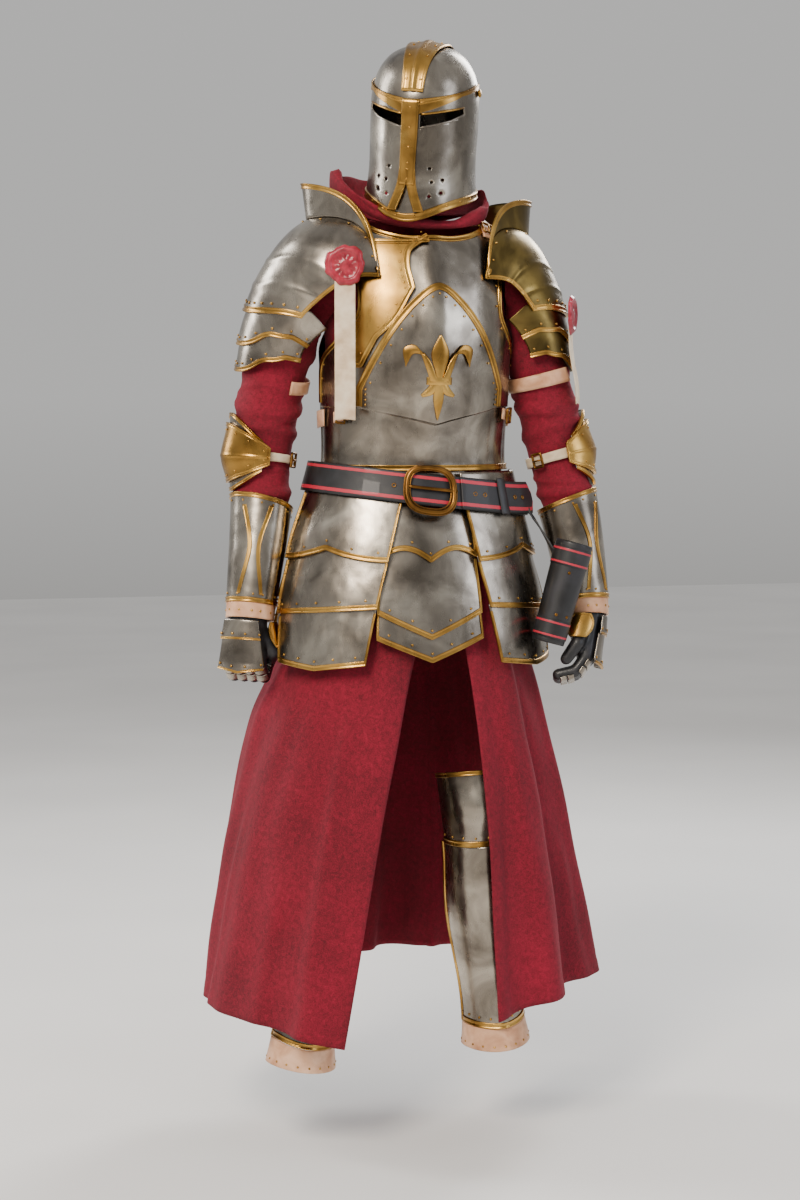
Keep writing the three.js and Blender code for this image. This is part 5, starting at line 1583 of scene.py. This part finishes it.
for side, label in SIDES.items():
    # The left guard takes the darkened brass, whose dark colour is painted shade.
    sheet_metal = bronze if side == LEFT else steel
    on_guard = guard_form(side)
    flange = {"on": on_guard, "at": lambda s, t: (lerp(4, 176, s) * DEGREE, lerp(-1, 0, t)), "lift": 0}
    cop = {
        "on": on_guard,
        "at": lambda s, t: (lerp(4, 176, s) * DEGREE, 0.001 + t),
        "lift": lambda s, t: 1.3 * bump(t, 0.45, 0.03) + 1.3 * bump(t, 0.72, 0.03),
    }
    parts = [plate_piece("cop", cop, 72, 60, sheet_metal)]
    parts.append(plate_piece("flange", flange, 72, 16, sheet_metal))
    add_group("shoulder_cop_" + label, parts, SLOTS[sheet_metal.name])
    trims = [
        border(flange, "top", 9, count=64),
        *borders(flange, {"start": 7, "end": 7}),
        border(cop, "foot", 10, count=72),
        *borders(cop, {"start": 7, "end": 7}),
        studs(cop, "foot", 16, 13, 2.4),
        studs(cop, "top", 8, 9, 2.2, 0.1, 0.9),
    ]
    for i, (start, foot, lift) in enumerate([(-0.22, 0.72, 3.6), (0.5, 1.5, 0)]):

        def lame_at(s, t, start=start, foot=foot):
            u = lerp(-24, 198, s) * DEGREE
            edge = cop_foot(np.clip(u, 0, math.pi)) + lerp(start, foot, t)
            return u, edge - 0.12 * bump(u, 0.55, 0.25) * t

        lame = {"on": shoulder[side], "at": lame_at, "lift": lift}
        name = f"shoulder_lame_{i + 1}_{label}"
        add_plate(name, lame, 80, 24, sheet_metal)
        trims.append(border(lame, "foot", 8, count=80))
        trims.append(studs(lame, "foot", 13, 11, 2.2))
    add_trim("shoulder_trim_" + label, trims)
    start = -18 if side == RIGHT else 40
    name, path = "arm_strap_" + label, [(start, 2.42, 0, 0.15), (-160, 2.3, 0, 0.15)]
    dress(strap_along(name, arm[side], path, 9, LEATHER, tan)[0], "tan_leather", name)

# Arm plates
def half_cop(s):
    """Half the length of the elbow's cop, in rows of the arm."""
    return 0.26 + 0.4 * np.sin(math.pi * np.clip(s, 0, 1)) ** 0.8


def forearm_band_lift(s, t):
    return PLATE - 0.6 + ridge_profile(s, 1.0)


for side, label in SIDES.items():
    elbow = {
        "on": arm[side],
        "at": lambda s, t: (lerp(2, 168, s) * DEGREE, 4.02 + (2 * t - 1) * half_cop(s)),
        "lift": lambda s, t: 13 + 12 * bump(s, 0.5, 0.3) * bump(t, 0.5, 0.35) + 1.2 * bump(t, 0.5, 0.03),
    }
    parts = [
        plate_piece("cop", elbow, 56, 40, brass),
        *borders(elbow, {"top": 6, "foot": 6, "start": 5, "end": 5}),
        studs(elbow, "top", 11, 7, 2.0),
        studs(elbow, "foot", 11, 7, 2.0),
    ]
    add_group("elbow_cop_" + label, parts)
    under = {
        "on": arm[side],
        "at": lambda s, t: (
            lerp(14, 156, s) * DEGREE,
            4.06 + (2 * t - 1) * 0.88 * (0.5 + 0.5 * np.sin(math.pi * s)),
        ),
        "lift": 9.8,
    }
    add_plate("elbow_lame_" + label, under, 48, 36, steel)
    add_trim("elbow_trim_" + label, borders(under, {"top": 6, "foot": 6}))
    name, path = "elbow_strap_" + label, [(8, 4.0, 0, 0.14), (-96, 4.06, 0, 0.11), (-200, 4.0, 0, 0.14)]
    strap, plate = strap_along(name, arm[side], path, 6, LEATHER, cream)
    dress(strap, "tan_leather", name)
    add_trim("elbow_buckle_" + label, buckle(on_plate(plate, 0.5, 0.3), 17, 18))

    guard = {
        "on": forearm[side],
        "at": lambda s, t: (
            2 * math.pi * s,
            lerp(5.16, 7.95, t) - 0.16 * np.sin(2 * math.pi * s) * np.clip(6 - lerp(5.16, 7.95, t), 0, 1),
        ),
        "lift": 0,
        "is_tube": True,
    }
    add_plate("forearm_guard_" + label, guard, 72, 48, steel)
    trims = [
        *borders(guard, {"top": 8, "foot": 8}, count=73),
        studs(guard, "top", 13, 10, 2.0),
        studs(guard, "foot", 13, 10, 2.0),
    ]
    for turn in (-1, 1):
        band_path = [(20 + turn * bend, k, 4.2, 0) for bend, k in ((26, 5.4), (9, 6.5), (26, 7.75))]
        trims.append(strap_along("band", forearm[side], band_path, forearm_band_lift, 1.4, brass, 14)[0])
    add_trim("forearm_trim_" + label, trims)
    leather = {
        "on": forearm[side],
        "at": lambda s, t: (2 * math.pi * s, lerp(7.96, 8.38, t)),
        "lift": -1,
        "thick": LEATHER,
        "is_tube": True,
    }
    add_plate("wrist_leather_" + label, leather, 72, 10, tan)
    add_trim("wrist_rivets_" + label, [studs(leather, "top", 14, 12, 2.2, height=0.2)])

# Gloves, in each hand's own frame: x across the palm, y into it, z up the arm
FINGERS = {"spacing": 18, "radius": 11.4, "lengths": [35, 29], "start": (-2, -64)}
FINGER_PLACES = (-1.5, -0.5, 0.5, 1.5)
FINGER_PLATES = ((0.12, 0.5), (0.56, 0.94))
ACROSS_PALM = np.array([1.0, 0.0, 0.0])
HANDS = {
    RIGHT: {"turn": 36, "shift": -2, "bends": [52, 150], "thumb": [(42, 18, -44), (24, 46, -62)]},
    LEFT: {"turn": 70, "shift": 0, "bends": [38, 80], "thumb": [(46, 14, -46), (44, 34, -72)]},
}


def hand_matrix(side):
    turn, shift = HANDS[side]["turn"] * DEGREE, HANDS[side]["shift"]
    middle, front, out = limb_frame(ARMS[side], side, np.array(8.5))
    up = unit(arm[side].centre(0, np.array(8.2)) - arm[side].centre(0, np.array(8.8)))
    inward = -(front * math.cos(turn) + out * math.sin(turn))
    x = np.cross(inward, up)
    matrix = Matrix(np.stack([x, inward, up], axis=1).tolist()).to_4x4()
    return Matrix.Translation(middle + np.array([shift, 0, 0])) @ matrix


def finger_points(x, bends):
    points = [(x, *FINGERS["start"])]
    for bend, length in zip(bends, FINGERS["lengths"]):
        _, y, z = points[-1]
        points.append((x, y + length * math.sin(bend * DEGREE), z - length * math.cos(bend * DEGREE)))
    return points


def add_glove(side, label, group):
    """Hulls of balls made into one skin by a voxel remesh, then smoothed and hollowed at the cuff."""

    def ball(point, radius):
        return metres(group, np.array(point, float)), radius * MM

    bends, thumb = HANDS[side]["bends"], HANDS[side]["thumb"]
    base = (-side * 24, 4, -14)
    middle, tip = ((-side * x, y, z) for x, y, z in thumb)
    wrist = [(25 * math.cos(a), 25 * math.sin(a)) for a in line(9, 0, 2 * math.pi)]
    cuff = [ball((x, y, z), 9) for x, y in wrist for z in (-2, 16)]
    palm = [ball((x, y, 0), 9) for x, y in wrist]
    palm += [ball((x, 0, -66), 15) for x in (-24, 24)]
    bodies = [cuff, palm, [ball(base, 14), ball(middle, 12.5)], [ball(middle, 12.5), ball(tip, 10.5)]]
    for place in FINGER_PLACES:
        points = finger_points(place * FINGERS["spacing"], bends)
        for near, far in zip(points, points[1:]):
            bodies.append([ball(near, FINGERS["radius"]), ball(far, FINGERS["radius"] - 1)])
    glove = joined("glove_" + label, [hull("part", balls, black) for balls in bodies])
    remesh = glove.modifiers.new("skin", "REMESH")
    remesh.mode = "VOXEL"
    remesh.voxel_size = 2.4 * MM
    soften = glove.modifiers.new("soften", "SMOOTH")
    soften.factor = 0.6
    soften.iterations = 6
    applied(glove)
    hollow = cone_piece("hollow", group @ Matrix.Translation((0, 0, 6)), 32, 27, 31, 60, black)
    glove = applied(glove, hollow)
    glove.data.polygons.foreach_set("use_smooth", [True] * len(glove.data.polygons))
    return dress(glove, "black_leather", "glove_" + label)


def finger_form(near, far):
    """One joint of a finger: u turns round it from its back, v runs from its near end to its far end."""
    out = unit(np.cross(unit(far - near), ACROSS_PALM))
    out = -out if out[1] > 0 else out

    def bone(u, v):
        return near + (far - near) * np.asarray(v)[..., None]

    def point(u, v):
        u, v = arrays(u, v)
        around = np.cos(u)[..., None] * out + np.sin(u)[..., None] * ACROSS_PALM
        return bone(u, v) + FINGERS["radius"] * around

    return Form(point, bone, 0.02)


def finger_plates(side, group):
    """Small curved plates along the back of each finger, two to a joint."""
    parts = []
    for place in FINGER_PLACES:
        points = np.array(finger_points(place * FINGERS["spacing"], HANDS[side]["bends"]))
        for near, far in zip(points, points[1:]):
            for start, stop in FINGER_PLATES:
                plate = {
                    "on": finger_form(near, far),
                    "at": lambda s, t, a=start, b=stop: (lerp(-62, 62, s) * DEGREE, lerp(a, b, t)),
                    "lift": lambda s, t: 0.4 + 0.8 * smooth(t),
                    "thick": 1.2,
                    "group": group,
                }
                parts.append(plate_piece("plate", plate, 12, 6, steel))
    return parts


def palm_spread(v):
    """Half the width of the plates on the back of the hand, as the degrees that lame_plates works in."""
    return lerp(30, 38, np.clip(-v / 70, 0, 1)) / DEGREE


for side, label in SIDES.items():
    group = hand_matrix(side)
    add_glove(side, label, group)
    back_of_hand = Form(
        lambda u, v: stack(u, -(lerp(33, 19, np.clip(-v / 68, 0, 1)) + 2) + u * u / 130, v),
        lambda u, v: stack(0 * u, 60, -30 + 0 * v),
        2,
    )
    levels = [lambda s: 3 + 0 * s, lambda s: -28 + 0 * s, lambda s: -78 - 8 * vee(s)]
    plates = lame_plates(back_of_hand, lambda v: -palm_spread(v), palm_spread, levels, 0.6, 3)
    for plate in plates:
        plate["group"] = group
    walls = [plate_piece("lame", plate, 32, 20, steel) for plate in plates]
    add_group("hand_plate_" + label, walls, "steel")
    trims = [border(plate, "foot", 4, bead=0.7, height=0.8) for plate in plates]
    trims += [studs(plate, "foot", 9, 4, 2.3) for plate in plates]
    add_trim("hand_trim_" + label, trims)
    dress(joined("finger_plates_" + label, finger_plates(side, group)), "steel")
    beside_thumb = Form(
        lambda u, v, side=side: stack(-side * (40 + 0.28 * (-v - 8) - u * u / 40), 4 - 0.25 * v + u, v),
        lambda u, v: stack(0 * u, 0, -30 + 0 * v),
        2,
    )
    thumb_plate = {
        "on": beside_thumb,
        "at": lambda s, t: ((2 * s - 1) * 15 * np.cos(0.9 * (2 * t - 1)), lerp(2, -38, t)),
        "lift": 9,
        "group": group,
    }
    parts = [plate_piece("plate", thumb_plate, 24, 24, brass)]
    parts += [border(thumb_plate, side_name, 3.5, bead=0.7, height=0.4) for side_name in SIDE_RUNS]
    add_group("thumb_plate_" + label, parts)

# Leg plates
for side, label in SIDES.items():
    knee = {
        "on": leg[side],
        "at": lambda s, t: (lerp(-84, 84, s) * DEGREE, lerp(0.25, 1.75, t)),
        "lift": lambda s, t: 2 + 10 * bump(s, 0.5, 0.28) * bump(t, 0.5, 0.3),
    }
    shin = {
        "on": leg[side],
        "at": lambda s, t: (
            lerp(-98, 98, s) * DEGREE,
            lerp(1.762, 5.0, t) + 0.12 * np.cos(math.pi * (2 * s - 1)) * t,
        ),
        "lift": lambda s, t: 1 + 5 * bump(s, 0.5, 0.08),
    }
    ankle = {
        "on": leg[side],
        "at": lambda s, t: (
            lerp(-104, 104, s) * DEGREE,
            lerp(5.02, 5.95, t) + 0.12 * np.cos(math.pi * (2 * s - 1)),
        ),
        "lift": lambda s, t: 1 + 0.8 * np.sin(9 * s) * bump(t, 0.5, 0.4),
        "thick": LEATHER,
    }
    add_plate("knee_cop_" + label, knee, 56, 48, steel)
    add_plate("shin_guard_" + label, shin, 64, 60, steel)
    add_plate("shin_leather_" + label, ankle, 64, 20, tan)
    trims = [
        *borders(knee, {"top": 8, "foot": 10}),
        studs(knee, "foot", 15, 9, 2.2),
        border(shin, "foot", 10, count=64),
        *borders(shin, {"start": 7, "end": 7}),
        studs(shin, "foot", 16, 9, 2.2),
        studs(ankle, "foot", 8, 11, 2.0, height=0.2),
    ]
    add_trim("leg_trim_" + label, trims)

# Belt
BELT = {"lift": 21, "half": 27.5, "middle": 1092, "slope": 22}
BELT_STEP = 1.5


def belt_height(u):
    return BELT["middle"] - BELT["slope"] * np.sin(u)


def rounded_edge(t):
    return -1.0 * np.abs(2 * t - 1) ** 8


def belt_point(u, v):
    return trunk.point(u, belt_height(u) + v)


def belt_centre(u, v):
    return trunk.centre(u, belt_height(u) + v)


belt_form = Form(belt_point, belt_centre, BELT_STEP)


def belt_piece(start, end, lift, thick, columns, is_tube=False, taper=None):
    def at(s, t):
        half = BELT["half"] if taper is None else BELT["half"] * taper(s)
        return lerp(start, end, s) * DEGREE, (1 - 2 * t) * half

    plate = {"on": belt_form, "at": at, "lift": lift, "thick": thick, "is_tube": is_tube}
    return plate_piece("belt", plate, columns, 16, striped)


def ring_lift(s, t):
    return BELT["lift"] + rounded_edge(t)


def end_lift(s, t):
    return BELT["lift"] + 3.8 + 12 * s**3 + rounded_edge(t)


def end_taper(s):
    return 1 - 0.62 * smooth((s - 0.93) / 0.07) ** 2


ring = belt_piece(0, 360, ring_lift, 4, 160, is_tube=True)
end = belt_piece(14, 68, end_lift, 3.6, 60, taper=end_taper)
keeper_plate = {
    "on": belt_form,
    "at": lambda s, t: (lerp(37, 43, s) * DEGREE, (1 - 2 * t) * (BELT["half"] + 3)),
    "lift": lambda s, t: BELT["lift"] + 6.6 + 4 * np.sin(math.pi * np.clip(s, 0.1, 0.9)) ** 0.5,
    "thick": 2.4,
}
keeper = plate_piece("keeper", keeper_plate, 8, 24, black)
add_group("belt", [ring, end, keeper], "black_leather")


def eyelets():
    u = np.array([-22.0, 22.0, 28.0, 50.0, 57.0]) * DEGREE
    lift = np.array([25.6, 28.0, 28.6, 32.6, 35.0])
    points = belt_form.above(u, 0 * u, lift)
    rings = []
    for point, normal in zip(points, belt_form.normal(u, 0 * u)):
        place = facing(point, normal)
        circle = [(3.2 * math.cos(a), 3.2 * math.sin(a), 0) for a in line(17, 0, 2 * math.pi)[:-1]]
        rings.append(tube("eyelet", circle, 0.9, old_brass, place, closed=True, sides=2))
    return rings


add_trim("belt_eyelets", eyelets())


def buckle_path(size):
    points = []
    for a in line(49, 0, 2 * math.pi)[:-1]:
        c, s = math.cos(a), math.sin(a)
        x = math.copysign(38 * size * abs(c) ** 0.75, c)
        z = math.copysign(44 * size * abs(s) ** 0.75, s)
        points.append(belt_form.above(math.asin(x / FRONT_RADIUS) - 3 * DEGREE, z, BELT["lift"] + 9.4))
    return np.array(points)


prong_u = line(12, -15, 11) * DEGREE
prong = belt_form.above(prong_u, 0 * prong_u, BELT["lift"] + 10.2)
buckle_parts = [
    tube("ring", buckle_path(0.9), 4.2, old_brass, closed=True, sides=4),
    tube("inner_line", buckle_path(0.78), 1.4, old_brass, closed=True, sides=2),
    tube("outer_line", buckle_path(1.0), 1.4, old_brass, closed=True, sides=2),
    tube("prong", prong, 3.0, old_brass, sides=3),
]
add_group("belt_buckle", buckle_parts)

# Frog on the left hip
FROG = table("k x y z r", (0, 236, -134, 1006, 29), (1, 190, -130, 838, 25))
frog_form = limb_form(FROG, LEFT, round_arm)
tube_plate = {
    "on": frog_form,
    "at": lambda s, t: (2 * math.pi * s, t),
    "lift": lambda s, t: -0.8 + 0.8 * np.sin(math.pi * t) ** 0.2,
    "thick": LEATHER,
    "is_tube": True,
}


def frog_band(v):
    return {
        "on": frog_form,
        "at": lambda s, t: (2 * math.pi * s, v + lerp(-0.09, 0.09, t)),
        "lift": LEATHER - 0.4,
        "thick": 1.4,
        "is_tube": True,
    }


def hanger_point(u, v):
    u, v = arrays(u, v)
    t = u / DEGREE
    start = belt_form.above(np.array(63 * DEGREE), 0.0, BELT["lift"] + 8.0) + stack(0, 0, v * 0.3 - 10)
    finish = stack(212, -126 + v, 968)
    return start + (finish - start) * t[..., None] + stack(0, -10 * np.sin(math.pi * t), 0)


hanger = Form(hanger_point, lambda u, v: stack(0 * u, 0, 900 + 0 * v), 2)
hanger_plate = {
    "on": hanger,
    "at": lambda s, t: (t * DEGREE, lerp(-14, 14, s)),
    "lift": 0,
    "thick": LEATHER,
}
frog_parts = [
    plate_piece("tube", tube_plate, 48, 40, black),
    plate_piece("band", frog_band(0.15), 48, 8, striped),
    plate_piece("band", frog_band(0.86), 48, 8, striped),
    plate_piece("hanger", hanger_plate, 8, 24, black),
]
add_group("frog", frog_parts, "black_leather")
stud_u, stud_v = np.array([-0.3, 0.4, -0.2]), np.array([0.72, 0.72, 0.3])
stud_points, stud_normals = frog_form.above(stud_u, stud_v, LEATHER), frog_form.normal(stud_u, stud_v)
dress(rivets("frog_studs", stud_points, stud_normals, 3.0, old_brass), "brass")

# Seals, each with a blank ribbon
SEALS = {
    RIGHT: {"at": (-159.2, -115.9, 1466), "turn": -14, "ribbon": 236, "swing": 0},
    LEFT: {"at": (254.6, -58.9, 1390), "turn": 60, "ribbon": 134, "swing": 15},
}


# A seal's depth at shares of its radius
SEAL_PROFILE = [
    (0, 5.2),
    (0.2, 5.0),
    (0.32, 3.6),
    (0.55, 3.2),
    (0.66, 4.0),
    (0.74, 6.6),
    (0.86, 6.2),
    (0.96, 3.0),
    (1, 0.6),
]
SEAL_RADIUS = 33
RIBBON_THICKNESS = 0.8


def add_seal(side, label):
    seal = SEALS[side]
    group = Matrix.Translation(seal["at"]) @ Matrix.Rotation(seal["turn"] * DEGREE, 4, "Z")
    radii, depths = np.array(SEAL_PROFILE).T

    def face(s, t):
        a = 2 * math.pi * s
        run = 1.8 * np.sin(3 * a + side) + 1.1 * np.sin(7 * a + 2) + 0.7 * np.sin(13 * a)
        r = t * (SEAL_RADIUS + run * t**3)
        rays = 0.7 * np.sin(12 * a) * bump(t, 0.45, 0.12)
        depth = np.interp(t, radii, depths) + rays
        return metres(group, stack(r * np.cos(a), -depth, r * np.sin(a)))

    bm = grid(72, 30, face)
    face_along(bm, np.tile(np.array(group)[:3, :3] @ [0.0, -1.0, 0.0], (len(bm.verts), 1)))
    close_seams(bm)
    rim = [edge for edge in bm.edges if edge.is_boundary]
    extruded = bmesh.ops.extrude_edge_only(bm, edges=rim)["geom"]
    inwards = Vector(np.array(group)[:3, :3] @ [0.0, 1.0, 0.0]) * 0.6 * MM
    moved = [v for v in extruded if isinstance(v, bmesh.types.BMVert)]
    bmesh.ops.translate(bm, verts=moved, vec=inwards)
    bmesh.ops.holes_fill(bm, edges=[edge for edge in bm.edges if edge.is_boundary])
    dress(finish_mesh("seal_" + label, bm, wax), "wax", "seal_" + label)

    def tail(s, t):
        curl = 3 * np.sin(2.2 * math.pi * t)
        cup = 1.2 * np.sin(math.pi * s) * np.sin(5 * t)
        y = 0.8 + curl * t - seal["swing"] * t**1.6 - cup
        return metres(group, stack(lerp(-17, 17, s), y, -18 - seal["ribbon"] * t + 2 * vee(s) * (t > 0.98)))

    bm = grid(16, 80, tail)
    face_along(bm, np.tile(np.array(group)[:3, :3] @ [0.0, -1.0, 0.0], (len(bm.verts), 1)))
    strip = thicken(finish_mesh("seal_ribbon_" + label, bm, ribbon), RIBBON_THICKNESS)
    dress(strip, "ribbon", "seal_ribbon_" + label)


for side, label in SIDES.items():
    add_seal(side, label)


# Floor, backdrop and lights
def add_stage():
    bm = bmesh.new()
    bmesh.ops.create_grid(bm, x_segments=1, y_segments=1, size=12)
    floor = finish_mesh("floor", bm, new_material("pale_floor", plain_floor, **{"Roughness": 0.85}))
    floor.location.z = -ORIGIN_HEIGHT * MM


def plain_floor(tree, where):
    return {"Base Color": ramp(tree, noise(tree, where, 900, 2.0), (0.3, "dedcd9"), (0.7, "e6e4e1"))}


def add_light(name, place, size, watts, colour, target=(0, 0, -0.45)):
    data = bpy.data.lights.new(name, "AREA")
    data.shape = "RECTANGLE"
    data.size, data.size_y = size
    data.energy = watts
    data.color = linear(colour)[:3]
    light = bpy.data.objects.new(name, data)
    light.location = place
    light.rotation_euler = (Vector(target) - Vector(place)).to_track_quat("-Z", "Y").to_euler()
    bpy.context.scene.collection.objects.link(light)


def add_world():
    """A pale room: bright overhead and dim at the horizon, so that the plates have something to mirror."""
    world = bpy.data.worlds.new("room")
    bpy.context.scene.world = world
    world.use_nodes = True
    tree = world.node_tree
    tree.nodes.clear()
    way = add_node(tree, "ShaderNodeNewGeometry")
    height = add_node(tree, "ShaderNodeSeparateXYZ", {"Vector": (way, "Incoming")})
    stretch = {"Value": (height, "Z"), "From Min": 1.0, "From Max": -1.0, "To Min": 0.0, "To Max": 1.0}
    share = (add_node(tree, "ShaderNodeMapRange", stretch), "Result")
    colour = ramp(tree, share, (0.0, "6f6b66"), (0.40, "8b8782"), (0.5, "efeeec"), (1.0, "fbfbfc"))
    glow = add_node(tree, "ShaderNodeBackground", {"Color": colour, "Strength": 0.62})
    add_node(tree, "ShaderNodeOutputWorld", {"Surface": (glow, "Background")})


add_stage()
add_world()
add_light("key", (-2.4, -3.2, 2.2), (1.3, 2.0), 260, "fff4e6")
add_light("fill", (3.2, -2.6, 0.8), (1.4, 2.4), 45, "eaf1ff")
add_light("rim_left", (2.4, 2.4, 1.6), (1.2, 2.0), 120, "ffffff")
add_light("rim_right", (-2.8, 1.8, 1.2), (1.0, 2.2), 80, "ffffff")
